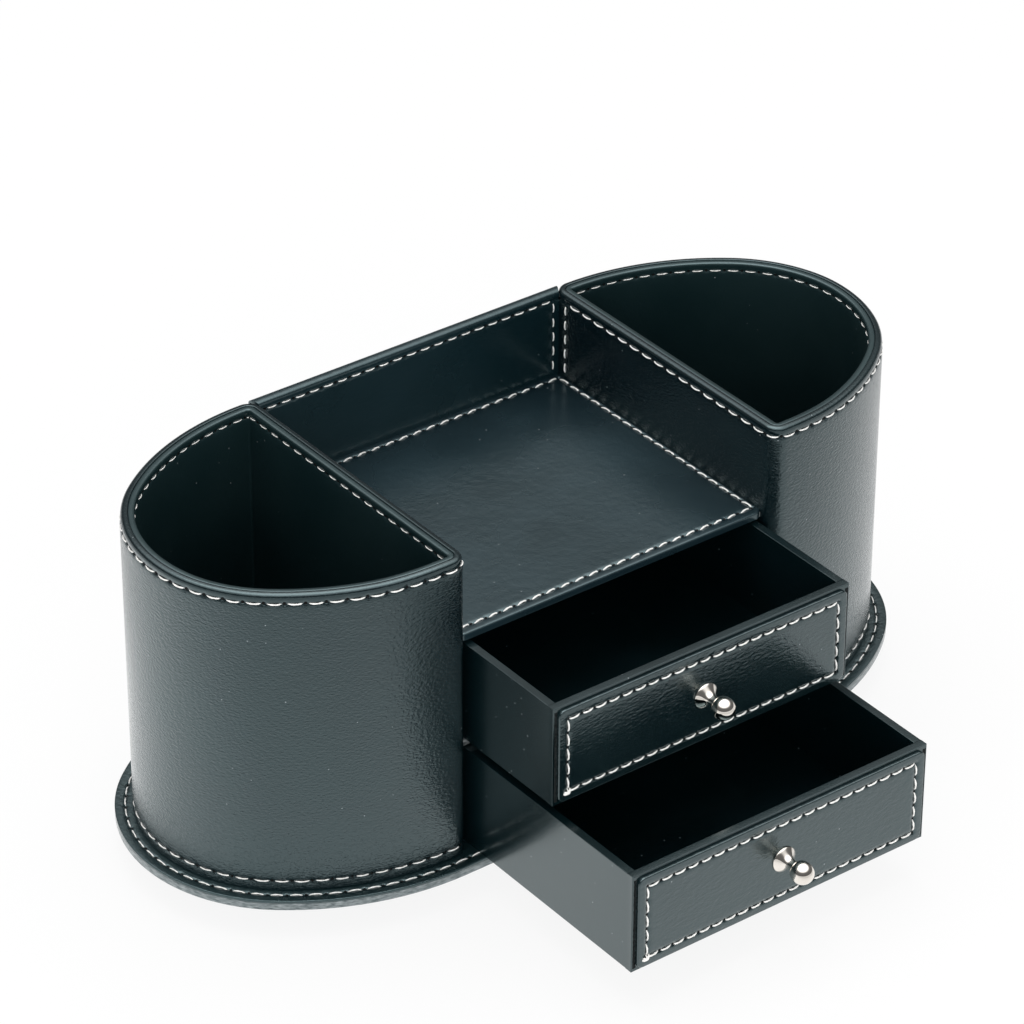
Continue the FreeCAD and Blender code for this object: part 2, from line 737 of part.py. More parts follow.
def drawer(name, floor, pull):
    """A drawer box with a grooved-in bottom, its leather front pad, knob and knob screw."""
    reach = f"(cup_half_depth - drawer_front_setback + {pull})"
    front = f"-{reach}"
    knob_place = (f"-({reach} + front_pad_thick)", f"{floor} + front_height_centre")
    inside_front = f"drawer_front_thick - {reach}"
    side_size = ("drawer_side_thick", "drawer_length - drawer_front_thick", "drawer_height")
    bottom = block(
        name + "_bottom",
        (
            "-(drawer_inner_half_width + drawer_groove)",
            f"{inside_front} - drawer_groove",
            f"{floor} + drawer_bottom_raise",
        ),
        (
            "2 * (drawer_inner_half_width + drawer_groove)",
            "drawer_length - drawer_front_thick - drawer_side_thick + 2 * drawer_groove",
            "drawer_bottom_thick",
        ))
    keep(bottom, name + "_bottom")
    knob(name + "_knob", *knob_place)
    screw = knob_screw(name + "_knob_screw", *knob_place)
    board = block(
        name + "_front_blank",
        ("-drawer_half_width", front, floor),
        ("2 * drawer_half_width", "drawer_front_thick", "drawer_height"))
    left = block(name + "_left_blank", ("-drawer_half_width", inside_front, floor), side_size)
    right = block(name + "_right_blank", ("drawer_inner_half_width", inside_front, floor), side_size)
    back = block(
        name + "_back_blank",
        ("-drawer_inner_half_width", f"drawer_length - drawer_side_thick - {reach}", floor),
        ("2 * drawer_inner_half_width", "drawer_side_thick", "drawer_height"))
    keep(less(name + "_front", board, bottom, screw), name + "_front")
    keep(less(name + "_side_left", left, bottom), name + "_side_left")
    keep(less(name + "_side_right", right, bottom), name + "_side_right")
    keep(less(name + "_back", back, bottom), name + "_back")
    keep(less(name + "_front_pad", front_pad(name + "_pad_blank", floor, reach), screw), name + "_front_pad")


drawer("upper_drawer", "upper_drawer_floor", "upper_drawer_pull")
drawer("lower_drawer", "lower_drawer_floor", "lower_drawer_pull")

# Check every object, then write each sub-part to its own file.

doc.recompute()
for thing in doc.Objects:
    if "Invalid" in thing.State or "Error" in thing.State:
        raise RuntimeError(f"{thing.Name} failed: {thing.State}")

os.makedirs("parts", exist_ok=True)
for part in sub_parts:
    shape = part.Shape
    if shape.isNull() or not shape.isValid() or not shape.Solids:
        raise RuntimeError(f"{part.Label} has no valid solid")
    shape.exportStep(os.path.join("parts", part.Label + ".step"))
    print(f"{part.Label}: {len(shape.Solids)} solids, {shape.Volume:.1f} mm3")
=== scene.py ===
import json
import math
import random

import bpy
from mathutils import Matrix, Vector

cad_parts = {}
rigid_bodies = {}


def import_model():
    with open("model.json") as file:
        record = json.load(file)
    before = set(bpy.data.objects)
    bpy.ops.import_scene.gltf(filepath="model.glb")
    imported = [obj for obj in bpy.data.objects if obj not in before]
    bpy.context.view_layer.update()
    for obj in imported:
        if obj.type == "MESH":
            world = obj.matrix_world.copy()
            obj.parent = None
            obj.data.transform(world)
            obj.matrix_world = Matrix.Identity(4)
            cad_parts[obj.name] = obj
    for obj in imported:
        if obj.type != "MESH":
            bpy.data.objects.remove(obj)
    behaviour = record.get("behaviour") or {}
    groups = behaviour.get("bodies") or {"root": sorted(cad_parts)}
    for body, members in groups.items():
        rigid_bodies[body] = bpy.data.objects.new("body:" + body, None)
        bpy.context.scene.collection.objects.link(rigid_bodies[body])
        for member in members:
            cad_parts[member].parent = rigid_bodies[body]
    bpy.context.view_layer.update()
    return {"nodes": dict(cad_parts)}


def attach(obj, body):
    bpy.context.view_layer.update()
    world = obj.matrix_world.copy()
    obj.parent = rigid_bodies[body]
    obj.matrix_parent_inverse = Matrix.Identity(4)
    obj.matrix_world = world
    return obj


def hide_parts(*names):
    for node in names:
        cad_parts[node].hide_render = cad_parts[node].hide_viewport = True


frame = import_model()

# Turntable foot. A round fibreboard disc, painted black, stands on a non-slip rubber pad.
# The lower ring of the ball bearing is screwed to it, and a rivet through the middle is the axle.

mm = 0.001


def finish(name, colour, roughness, **sockets):
    """A new finish, with its plain numbers on the shader's own sockets."""
    made = bpy.data.materials.new(name)
    made.use_nodes = True
    shader = made.node_tree.nodes["Principled BSDF"]
    shader.inputs["Base Color"].default_value = (*colour, 1)
    shader.inputs["Roughness"].default_value = roughness
    for socket, value in sockets.items():
        shader.inputs[socket.replace("_", " ")].default_value = value
    return made


def wire(made, kind, inputs, **settings):
    """Add a node to a finish or to the studio, with its inputs set to numbers or fed from other nodes."""
    node = made.node_tree.nodes.new("ShaderNode" + kind)
    for setting, value in settings.items():
        setattr(node, setting, value)
    for name, value in inputs.items():
        if isinstance(value, bpy.types.NodeSocket):
            made.node_tree.links.new(value, node.inputs[name])
        else:
            node.inputs[name].default_value = value
    return node


def feed(made, socket, output):
    """Feed one of the shader's sockets from a node."""
    made.node_tree.links.new(output, made.node_tree.nodes["Principled BSDF"].inputs[socket])


def blotches(made, size, *colours, detail=3, flat=1):
    """Colour a finish with patches that run from one colour to the next, and lie flat by a factor."""
    place = wire(made, "TexCoord", {}).outputs["Object"]
    drawn = wire(made, "Mapping", {"Vector": place, "Scale": (1, 1, flat)})
    cloud = wire(made, "TexNoise", {"Vector": drawn.outputs["Vector"], "Scale": 1 / size, "Detail": detail})
    ramp = wire(made, "ValToRGB", {"Fac": cloud.outputs["Fac"]})
    ramp.color_ramp.elements[0].position = 0.3
    ramp.color_ramp.elements[1].position = 0.7
    for stop, colour in zip(ramp.color_ramp.elements, colours):
        stop.color = (*colour, 1)
    feed(made, "Base Color", ramp.outputs["Color"])
    return ramp.outputs["Color"]


def roughen(made, size, height, low, high):
    """Give a finish a fine surface: small bumps, and a roughness that varies with them."""
    place = wire(made, "TexCoord", {}).outputs["Object"]
    grit = wire(made, "TexNoise", {"Vector": place, "Scale": 1 / size, "Detail": 4})
    spread = wire(made, "MapRange", {"Value": grit.outputs["Fac"], "To Min": low, "To Max": high})
    bump = wire(made, "Bump", {"Height": grit.outputs["Fac"], "Distance": height, "Strength": 1})
    feed(made, "Roughness", spread.outputs["Result"])
    feed(made, "Normal", bump.outputs["Normal"])


def coat(material, *nodes):
    """Put a finish on the pieces that come as they are."""
    for name in nodes:
        mesh = frame["nodes"][name].data
        mesh.materials.clear()
        mesh.materials.append(material)


rubber = finish("non_slip_rubber", (0.02, 0.02, 0.021), 0.8)
blotches(rubber, 6 * mm, (0.016, 0.016, 0.017), (0.03, 0.03, 0.031))
roughen(rubber, 0.5 * mm, 0.12 * mm, 0.7, 0.9)
coat(rubber, "foot_pad")

black_paint = finish("black_painted_fibreboard", (0.02, 0.022, 0.023), 0.5)
blotches(black_paint, 9 * mm, (0.016, 0.018, 0.019), (0.026, 0.028, 0.03))
roughen(black_paint, 0.9 * mm, 0.05 * mm, 0.42, 0.6)
coat(black_paint, "foot_disc")

zinc = finish("zinc_plated_steel", (0.6, 0.6, 0.61), 0.32, Metallic=1.0)
blotches(zinc, 5 * mm, (0.5, 0.5, 0.52), (0.68, 0.68, 0.68))
roughen(zinc, 0.7 * mm, 0.01 * mm, 0.25, 0.42)
coat(zinc, "lower_race", "lower_race_screws", "pivot_rivet")

# Ball bearing. Twelve hardened balls run between two pressed steel rings.
# A punched nylon ring keeps them apart, and the upper ring is screwed to the base board.

nylon = finish("plain_nylon", (0.72, 0.71, 0.66), 0.45)
blotches(nylon, 4 * mm, (0.68, 0.67, 0.62), (0.78, 0.77, 0.72))
roughen(nylon, 0.6 * mm, 0.02 * mm, 0.38, 0.52)
coat(nylon, "ball_cage")

ball_steel = finish("hardened_ball_steel", (0.75, 0.75, 0.76), 0.1, Metallic=1.0)
roughen(ball_steel, 0.5 * mm, 0.002 * mm, 0.07, 0.14)
coat(ball_steel, "bearing_balls")
coat(zinc, "upper_race", "upper_race_screws", "cup_screws")

# Base. An oval fibreboard plate, wrapped from below in leathercloth whose edge band is painted lighter and streaky:
# partly wear from rubbing, partly a painted sheen.
# A second, thinner sheet is laid on top, and white thread is sewn through both near the edge.


def leathercloth(name, dark, light, gloss, grain, wrinkle, pore, film=0.25, taut=0.0):
    """Black leathercloth under a clear film: short wavy wrinkles over fine pores, and a few specks of dust.
    grain is the size of a wrinkle along X, Y and Z, wrinkle and pore are how high they stand. Above the
    height taut, where the cloth is drawn over an edge, the wrinkles are stretched out."""
    made = finish(name, dark, gloss, IOR=1.5, Specular_IOR_Level=1.0, Specular_Tint=(0.7, 0.96, 1.0, 1),
                  Coat_Weight=film, Coat_Roughness=gloss * 0.5, Coat_IOR=1.5)
    place = wire(made, "TexCoord", {}).outputs["Object"]
    drawn = wire(made, "Mapping", {"Vector": place, "Scale": [1 / size for size in grain]})
    folds = wire(made, "TexNoise", {"Vector": drawn.outputs["Vector"], "Scale": 1, "Detail": 2,
                                    "Roughness": 0.5, "Distortion": 0.25})
    relief = wire(made, "Math", {0: folds.outputs["Fac"], 1: 0.5}, operation="SUBTRACT")
    if taut:
        height = wire(made, "SeparateXYZ", {"Vector": place})
        slack = wire(made, "MapRange", {"Value": height.outputs["Z"], "From Min": taut, "From Max": taut + 1.2 * mm,
                                        "To Min": 1, "To Max": 0.15})
        relief = wire(made, "Math", {0: relief.outputs[0], 1: slack.outputs["Result"]}, operation="MULTIPLY")
    fine = wire(made, "TexNoise", {"Vector": place, "Scale": 1 / (0.5 * mm), "Detail": 3})
    patches = wire(made, "TexNoise", {"Vector": place, "Scale": 1 / (30 * mm), "Detail": 3})
    ramp = wire(made, "ValToRGB", {"Fac": patches.outputs["Fac"]})
    ramp.color_ramp.elements[0].position = 0.35
    ramp.color_ramp.elements[0].color = (*dark, 1)
    ramp.color_ramp.elements[1].position = 0.68
    ramp.color_ramp.elements[1].color = (*light, 1)
    cells = wire(made, "TexVoronoi", {"Vector": place, "Scale": 1 / (4 * mm)})
    near = wire(made, "Math", {0: cells.outputs["Distance"], 1: 0.045}, operation="LESS_THAN")
    chosen = wire(made, "SeparateColor", {"Color": cells.outputs["Color"]})
    few = wire(made, "Math", {0: chosen.outputs[0], 1: 0.5}, operation="GREATER_THAN")
    speck = wire(made, "Math", {0: near.outputs[0], 1: few.outputs[0]}, operation="MULTIPLY")
    dusty = wire(made, "MixRGB", {"Fac": speck.outputs[0], "Color1": ramp.outputs["Color"],
                                  "Color2": (0.2, 0.22, 0.23, 1)})
    feed(made, "Base Color", dusty.outputs["Color"])
    spread = wire(made, "MapRange", {"Value": patches.outputs["Fac"], "From Min": 0.3, "From Max": 0.7,
                                     "To Min": gloss - 0.04, "To Max": gloss + 0.04})
    feed(made, "Roughness", spread.outputs["Result"])
    pitted = wire(made, "Bump", {"Height": fine.outputs["Fac"], "Distance": pore, "Strength": 1})
    wrinkled = wire(made, "Bump", {"Height": relief.outputs[0], "Distance": wrinkle, "Strength": 1,
                                   "Normal": pitted.outputs["Normal"]})
    feed(made, "Normal", wrinkled.outputs["Normal"])
    feed(made, "Coat Normal", wrinkled.outputs["Normal"])
    return made


def stand_in(piece, body, material, slot, *nodes):
    """Give a finished piece its material, its body and the pieces that it stands for."""
    if material:
        piece.data.materials.clear()
        piece.data.materials.append(material)
    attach(piece, body)
    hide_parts(*nodes)


def only(piece):
    """Select one piece alone."""
    bpy.ops.object.select_all(action="DESELECT")
    piece.select_set(True)
    bpy.context.view_layer.objects.active = piece


def guide_line(name, stretches):
    """A closed line to wrap sewn strips round. Each stretch is an arc, as centre, radius and its two
    angles in degrees, and straight lines join them."""
    places = []
    for across, along, radius, start, end in stretches:
        steps = max(4, round(abs(math.radians(end - start)) * radius / 0.5))
        arc = [math.radians(start + (end - start) * step / steps) for step in range(steps + 1)]
        turned = [(across + radius * math.cos(angle), along + radius * math.sin(angle)) for angle in arc]
        if places:
            places += straight(places[-1], turned[0])
        places += turned
    places += straight(places[-1], places[0])
    line = bpy.data.curves.new(name, "CURVE")
    line.dimensions = "3D"
    line.twist_mode = "Z_UP"
    path = line.splines.new("POLY")
    path.points.add(len(places) - 1)
    for point, place in zip(path.points, places):
        point.co = (place[0] * mm, place[1] * mm, 0, 1)
    path.use_cyclic_u = True
    guide = bpy.data.objects.new(name, line)
    bpy.context.scene.collection.objects.link(guide)
    return guide, path.calc_length()


def straight(start, end):
    """The places between two points, half a millimetre apart."""
    steps = round(math.dist(start, end) / 0.5)
    return [tuple(a + (b - a) * step / steps for a, b in zip(start, end)) for step in range(1, steps)]


def sewn_tile(name, section, pitch, seams, closed=True):
    """One stitch's length of a sewn strip: its section is drawn, pushed along X and pinched in where the
    needle went through, at both ends. A seam is a place in the section and the way that it is pulled."""
    bpy.ops.object.select_all(action="DESELECT")
    bpy.ops.mesh.primitive_circle_add(vertices=len(section))
    tile = bpy.context.object
    tile.name = name
    for corner, place in zip(tile.data.vertices, section):
        corner.co = (0, place[0] * mm, place[1] * mm)
    if not closed:
        ends = {0, len(section) - 1}
        bpy.ops.object.mode_set(mode="EDIT")
        bpy.ops.mesh.select_mode(type="EDGE")
        bpy.ops.mesh.select_all(action="DESELECT")
        bpy.ops.object.mode_set(mode="OBJECT")
        for edge in tile.data.edges:
            edge.select = set(edge.vertices) == ends
        bpy.ops.object.mode_set(mode="EDIT")
        bpy.ops.mesh.delete(type="EDGE")
        bpy.ops.mesh.select_mode(type="VERT")
    bpy.ops.object.mode_set(mode="EDIT")
    bpy.ops.mesh.select_all(action="SELECT")
    shares = (0, 0.05, 0.1, 0.18, 0.32, 0.5, 0.68, 0.82, 0.9, 0.95, 1)
    for near, far in zip(shares, shares[1:]):
        step = (far - near) * pitch
        bpy.ops.mesh.extrude_region_move(TRANSFORM_OT_translate={"value": (step, 0, 0)})
    bpy.ops.object.mode_set(mode="OBJECT")
    for corner in tile.data.vertices:
        for inward, up, pull_in, pull_up in seams:
            off = math.dist((corner.co.y, corner.co.z), (inward * mm, up * mm)) / mm
            along = min(corner.co.x, pitch - corner.co.x) / mm
            depth = math.exp(-((off / 0.55) ** 2) - (along / 0.5) ** 2)
            corner.co.y += pull_in * depth * mm
            corner.co.z += pull_up * depth * mm
    return tile


def repeat(piece, pitch, count, merge=False):
    """Repeat a tile or a stitch along X, and merge the joins between tiles."""
    only(piece)
    row = piece.modifiers.new("row", "ARRAY")
    row.use_relative_offset = False
    row.use_constant_offset = True
    row.constant_offset_displace = (pitch, 0, 0)
    row.count = count
    row.use_merge_vertices = merge
    row.merge_threshold = 0.004 * mm
    bpy.ops.object.modifier_apply(modifier="row")


def wrap_round(piece, guide, close=False):
    """Bend a strip round a guide line, and join its two ends."""
    only(piece)
    bend = piece.modifiers.new("bend", "CURVE")
    bend.object = guide
    bpy.ops.object.modifier_apply(modifier="bend")
    if close:
        bpy.ops.object.mode_set(mode="EDIT")
        bpy.ops.mesh.select_all(action="SELECT")
        bpy.ops.mesh.remove_doubles(threshold=0.02 * mm)
        bpy.ops.object.mode_set(mode="OBJECT")


def face_out(piece, angle=40):
    """Turn a closed piece's faces outwards and shade it smooth up to an angle."""
    only(piece)
    bpy.ops.object.mode_set(mode="EDIT")
    bpy.ops.mesh.select_all(action="SELECT")
    bpy.ops.mesh.normals_make_consistent(inside=False)
    bpy.ops.object.mode_set(mode="OBJECT")
    bpy.ops.object.shade_smooth_by_angle(angle=math.radians(angle))


thread = finish("waxed_white_thread", (0.93, 0.92, 0.89), 0.62)
blotches(thread, 1.2 * mm, (0.84, 0.83, 0.8), (0.96, 0.955, 0.93), detail=2)
roughen(thread, 0.18 * mm, 0.05 * mm, 0.55, 0.75)
# The needle holes are near-black discs: painted shade standing in for the dark inside of each hole.
needle_hole_shade = finish("needle_hole_shade", (0.002, 0.002, 0.002), 0.95)
blotches(needle_hole_shade, 0.5 * mm, (0.001, 0.001, 0.001), (0.004, 0.004, 0.004))


def one_stitch(name, pitch, sag=0.1, lean=0.0, thick=0.26, gap=1.1, hole=0.4):
    """One stitch: a two-ply thread that rises out of one needle hole and dives into the next, and at its start a
    near-black disc, painted shade for the inside of the needle hole. It lies along X and faces -Y."""
    length = pitch - gap * mm
    bpy.ops.object.select_all(action="DESELECT")
    bpy.ops.mesh.primitive_cylinder_add(vertices=8, radius=thick * mm, depth=length, rotation=(0, math.pi / 2, 0))
    stitch = bpy.context.object
    stitch.name = name
    bpy.ops.object.transform_apply(location=True, rotation=True, scale=True)
    for edge in stitch.data.edges:
        ends = [stitch.data.vertices[corner].co.x for corner in edge.vertices]
        edge.select = abs(ends[0] - ends[1]) > length / 2
    bpy.ops.object.mode_set(mode="EDIT")
    bpy.ops.mesh.select_mode(type="EDGE")
    bpy.ops.mesh.subdivide(number_cuts=6)
    bpy.ops.mesh.select_mode(type="VERT")
    bpy.ops.object.mode_set(mode="OBJECT")
    for corner in stitch.data.vertices:
        share = corner.co.x / (length / 2)
        end = abs(share) ** 3
        twist = Matrix.Rotation(share * math.pi * 1.1, 3, "X")
        place = twist @ Vector((0, corner.co.y * (1 - 0.3 * end), corner.co.z * 0.8 * (1 - 0.3 * end)))
        corner.co.y = place.y - thick * mm + (thick * 2 + 0.1) * mm * end
        corner.co.z = place.z - (sag * (1 - share ** 2) - lean * share) * mm
        corner.co.x += pitch / 2
    stitch.data.materials.append(thread)
    bpy.ops.object.shade_smooth()
    if hole:
        bpy.ops.mesh.primitive_circle_add(vertices=10, radius=mm, fill_type="TRIFAN", rotation=(math.pi / 2, 0, 0))
        pit = bpy.context.object
        bpy.ops.object.transform_apply(location=True, rotation=True, scale=True)
        for corner in pit.data.vertices:
            inner = corner.co.length < 0.1 * mm
            corner.co = (corner.co.x * hole, 0.12 * mm if inner else -0.03 * mm, corner.co.z * hole + 0.12 * mm)
        pit.data.materials.append(needle_hole_shade)
        stitch.select_set(True)
        bpy.context.view_layer.objects.active = stitch
        bpy.ops.object.join()
    return stitch


def hand_work(row, count, seed):
    """Let each stitch of a row lie a little differently, as hand-fed sewing does."""
    chance = random.Random(seed)
    each = len(row.data.vertices) // count
    for start in range(0, each * count, each):
        corners = row.data.vertices[start:start + each]
        middle = sum((corner.co for corner in corners), Vector()) / each
        shift = Vector([chance.uniform(-0.05, 0.05) * mm for _ in range(3)])
        stretch = chance.uniform(0.94, 1.03)
        for corner in corners:
            corner.co = middle + (corner.co - middle) * stretch + shift


def seam_round(name, guide, pitch, count, inward, up, facing, seed, **form):
    """A row of stitches round a guide line, at a place of the strip's section."""
    row = one_stitch(name, pitch, **form)
    turned = {
        "out": Matrix(),
        "in": Matrix.Translation((pitch, 0, 0)) @ Matrix.Rotation(math.pi, 4, "Z"),
        "up": Matrix.Rotation(-math.pi / 2, 4, "X"),
    }[facing]
    row.data.transform(Matrix.Translation((0, inward * mm, up * mm)) @ turned)
    repeat(row, pitch, count)
    hand_work(row, count, seed)
    wrap_round(row, guide)
    return row


edge_cloth = leathercloth("edge_leathercloth", (0.045, 0.056, 0.06), (0.21, 0.225, 0.23), 0.3,
                          (2.8 * mm, 2.8 * mm, 0.45 * mm), 0.2 * mm, 0.08 * mm)
# Above 9 mm the edge band is painted light grey and streaky, partly as wear from rubbing and partly as a painted
# sheen; the underside stays near-black.
rubbed_and_sheen = blotches(edge_cloth, 2.0 * mm, (0.015, 0.021, 0.023), (0.25, 0.265, 0.27), detail=6, flat=4)
height = wire(edge_cloth, "SeparateXYZ", {"Vector": wire(edge_cloth, "TexCoord", {}).outputs["Object"]})
on_edge = wire(edge_cloth, "MapRange", {"Value": height.outputs["Z"], "From Min": 8.72 * mm, "From Max": 9 * mm})
worn_and_sheen = wire(edge_cloth, "MixRGB", {"Fac": on_edge.outputs["Result"], "Color1": (0.012, 0.016, 0.018, 1),
                                   "Color2": rubbed_and_sheen})
feed(edge_cloth, "Base Color", worn_and_sheen.outputs["Color"])
coat(edge_cloth, "base_board")

deck_under, deck = 11.1, 11.9
base_out = 4.9
side_radius, side_centre, end_shift, straight_end = 73.0, 24.5, 20.0, 54.6
lean_angle = math.degrees(math.atan2(end_shift, side_centre))
end_radius = side_radius - math.hypot(end_shift, side_centre)
end_at = straight_end + end_shift
base_guide, base_length = guide_line("base_guide", [
    (straight_end, side_centre, side_radius + base_out, -90, lean_angle - 90),
    (end_at, 0, end_radius + base_out, lean_angle - 90, 90 - lean_angle),
    (straight_end, -side_centre, side_radius + base_out, 90 - lean_angle, 90),
    (-straight_end, -side_centre, side_radius + base_out, 90, 90 + lean_angle),
    (-end_at, 0, end_radius + base_out, 90 + lean_angle, 270 - lean_angle),
    (-straight_end, side_centre, side_radius + base_out, 270 - lean_angle, 270),
])
base_count = 112
base_pitch = base_length / base_count
base_seam = 2.9
base_section = [
    (7.0, deck_under), (0.2, deck_under), (0.05, 11.14), (0.0, 11.25), (0.0, 11.62), (0.04, 11.76), (0.16, 11.86),
    (0.4, 11.9), (1.1, 11.92), (1.8, 11.92), (2.25, 11.88), (2.5, 11.8), (2.7, 11.7), (base_seam, 11.66),
    (3.1, 11.7), (3.3, 11.8), (3.6, 11.87), (4.0, 11.89), (4.6, deck), (7.0, deck)]
top_cloth = leathercloth("base_leathercloth", (0.003, 0.011, 0.013), (0.01, 0.021, 0.024), 0.28,
                         (1.1 * mm, 1.1 * mm, 1.1 * mm), 0.12 * mm, 0.05 * mm)
base_top = sewn_tile("base_top_sheet", base_section, base_pitch, [(base_seam, 11.63, 0, -0.3)], closed=False)
repeat(base_top, base_pitch, base_count, merge=True)
wrap_round(base_top, base_guide, close=True)
bpy.ops.object.mode_set(mode="EDIT")
for level in (deck_under, deck):
    bpy.ops.mesh.select_all(action="DESELECT")
    bpy.ops.mesh.select_non_manifold()
    bpy.ops.object.mode_set(mode="OBJECT")
    for corner in base_top.data.vertices:
        corner.select = corner.select and abs(corner.co.z / mm - level) < 0.05
    bpy.ops.object.mode_set(mode="EDIT")
    bpy.ops.mesh.edge_face_add()
bpy.ops.object.mode_set(mode="OBJECT")
face_out(base_top, 50)
stand_in(base_top, "organizer", top_cloth, "leather", "base_leather")
base_row = seam_round("base_seam", base_guide, base_pitch, base_count, base_seam, 11.7, "up", 3,
                      sag=0.06, thick=0.23)
stand_in(base_row, "organizer", None, "leather")

# Pen cups. Each is a bent fibreboard shell on a board floor, D-shaped, with its flat wall to the tray.
# Leathercloth is wrapped round it and sewn to the lining under the rim and just above the base.

board = finish("fibreboard", (0.05, 0.045, 0.04), 0.8)
blotches(board, 3 * mm, (0.04, 0.036, 0.03), (0.06, 0.054, 0.046))
coat(board, "right_cup_board", "left_cup_board")

cup_cloth = leathercloth("cup_leathercloth", (0.001, 0.004, 0.006), (0.002, 0.008, 0.01), 0.2,
                         (1.0 * mm, 1.0 * mm, 0.5 * mm), 0.2 * mm, 0.03 * mm, taut=100.3 * mm)
lining_cloth = leathercloth("lining_cloth", (0.005, 0.015, 0.017), (0.008, 0.02, 0.022), 0.32,
                            (5 * mm, 5 * mm, 3 * mm), 0.05 * mm, 0.03 * mm)
coat(lining_cloth, "right_cup_floor", "left_cup_floor")

corner_radius, half_depth = 4.6, 48.5
corner_at = half_depth - corner_radius
cup_guide, cup_length = guide_line("cup_guide", [
    (straight_end, -corner_at, corner_radius, 180, 270),
    (straight_end, side_centre, side_radius, -90, lean_angle - 90),
    (end_at, 0, end_radius, lean_angle - 90, 90 - lean_angle),
    (straight_end, -side_centre, side_radius, 90 - lean_angle, 90),
    (straight_end, corner_at, corner_radius, 90, 180),
])
cup_count = 52
cup_pitch = cup_length / cup_count
rim_seam, foot_seam, cap_under = 101.3, 14.6, 102.42
wall_rows = [18, 26, 36, 46, 56, 66, 76, 86, 94]
leather_section = [
    (0.78, 12.0), (0.2, 11.92), (0.0, 11.98), (-0.06, 12.15), (-0.05, 12.5), (0.02, 12.8), (0.02, 13.6),
    (0.1, 14.1), (0.24, 14.42), (0.3, foot_seam), (0.26, 14.74), (0.14, 15.0), (0.04, 15.4), (0.0, 16.0),
    *[(0, row) for row in wall_rows],
    (0.0, 98.6), (0.0, 100.0), (0.05, 100.6), (0.17, 100.98), (0.3, 101.18), (0.36, rim_seam),
    (0.34, 101.42), (0.27, 101.65), (0.22, 102.1), (0.22, 102.6), (0.26, 102.95), (0.36, 103.25),
    (0.52, 103.5), (0.74, 103.69), (1.0, 103.81), (1.3, 103.87), (1.66, 103.9), (2.0, 103.9),
    (2.13, 103.84), (2.17, 103.6), (2.17, cap_under), (0.78, cap_under)]
outer = sewn_tile("right_cup_outer_leather", leather_section, cup_pitch,
                  [(0.34, foot_seam, 0.3, 0), (0.36, rim_seam, 0.3, 0)])
repeat(outer, cup_pitch, cup_count, merge=True)
wrap_round(outer, cup_guide, close=True)
face_out(outer, 60)

lining_section = [
    (3.22, 14.4), (3.98, 14.4), *[(3.98, row) for row in (16, 30, 50, 70, 90)],
    (3.98, 98.6), (3.97, 100.2), (3.9, 100.8), (3.75, 101.15), (3.7, rim_seam), (3.76, 101.5), (3.9, 101.85),
    (3.98, 102.3), (3.98, 102.9), (3.93, 103.3), (3.8, 103.55), (3.58, 103.68), (3.2, 103.72), (2.7, 103.72),
    (2.35, 103.7), (2.22, 103.6), (2.2, 103.3), (2.2, cap_under), (3.22, cap_under)]
inner = sewn_tile("right_cup_inner_lining", lining_section, cup_pitch, [(3.7, rim_seam, -0.25, 0)])
repeat(inner, cup_pitch, cup_count, merge=True)
wrap_round(inner, cup_guide, close=True)
face_out(inner, 60)

outer_rim = seam_round("right_cup_rim_seam", cup_guide, cup_pitch, cup_count, 0.3, rim_seam, "out", 11, sag=0.08)
outer_foot = seam_round("right_cup_foot_seam", cup_guide, cup_pitch, cup_count, 0.28, foot_seam, "out", 12,
                        sag=0.04, thick=0.22)
inner_rim = seam_round("right_cup_inner_seam", cup_guide, cup_pitch, cup_count, 3.74, rim_seam, "in", 13,
                       sag=0.03, thick=0.18, gap=1.6)


def seam_line(name, start, end, facing, count, seed, **form):
    """A straight row of stitches between two places, on a face that looks the way given."""
    start, end, facing = Vector(start) * mm, Vector(end) * mm, Vector(facing)
    along = (end - start).normalized()
    pitch = (end - start).length / count
    row = one_stitch(name, pitch, **form)
    repeat(row, pitch, count)
    hand_work(row, count, seed)
    axes = Matrix((along, -facing, facing.cross(along))).transposed().to_4x4()
    row.data.transform(Matrix.Translation(start) @ axes)
    return row


side_face, side_row, above_tray = 50.02, 41.9, 78.6
outer_side = seam_line("right_cup_side_seam", (side_face, side_row, above_tray), (side_face, side_row, rim_seam),
                       (-1, 0, 0), 5, 14)


def cut_away(piece, unwanted):
    """Delete the stitches of a row that the test picks by their place."""
    only(piece)
    bpy.ops.object.mode_set(mode="EDIT")
    bpy.ops.mesh.select_all(action="DESELECT")
    bpy.ops.object.mode_set(mode="OBJECT")
    for corner in piece.data.vertices:
        corner.select = unwanted(corner.co / mm)
    bpy.ops.object.mode_set(mode="EDIT")
    bpy.ops.mesh.select_linked()
    bpy.ops.mesh.delete(type="VERT")
    bpy.ops.object.mode_set(mode="OBJECT")


cut_away(outer_rim, lambda place: place.x < 50.6 and place.y > 41.1)
cut_away(outer_foot, lambda place: place.x < 50.9)


def eased(value):
    """A share from 0 to 1 that starts and ends softly."""
    value = min(max(value, 0), 1)
    return value * value * (3 - 2 * value)


rim_dip = 0.6 * mm
for piece in (outer, inner, outer_rim, inner_rim):
    for corner in piece.data.vertices:
        across, along, up = corner.co / mm
        corner.co.z -= rim_dip * eased((across - 54) / 22) * eased((10 - along) / 30) * eased((up - 95) / 4)

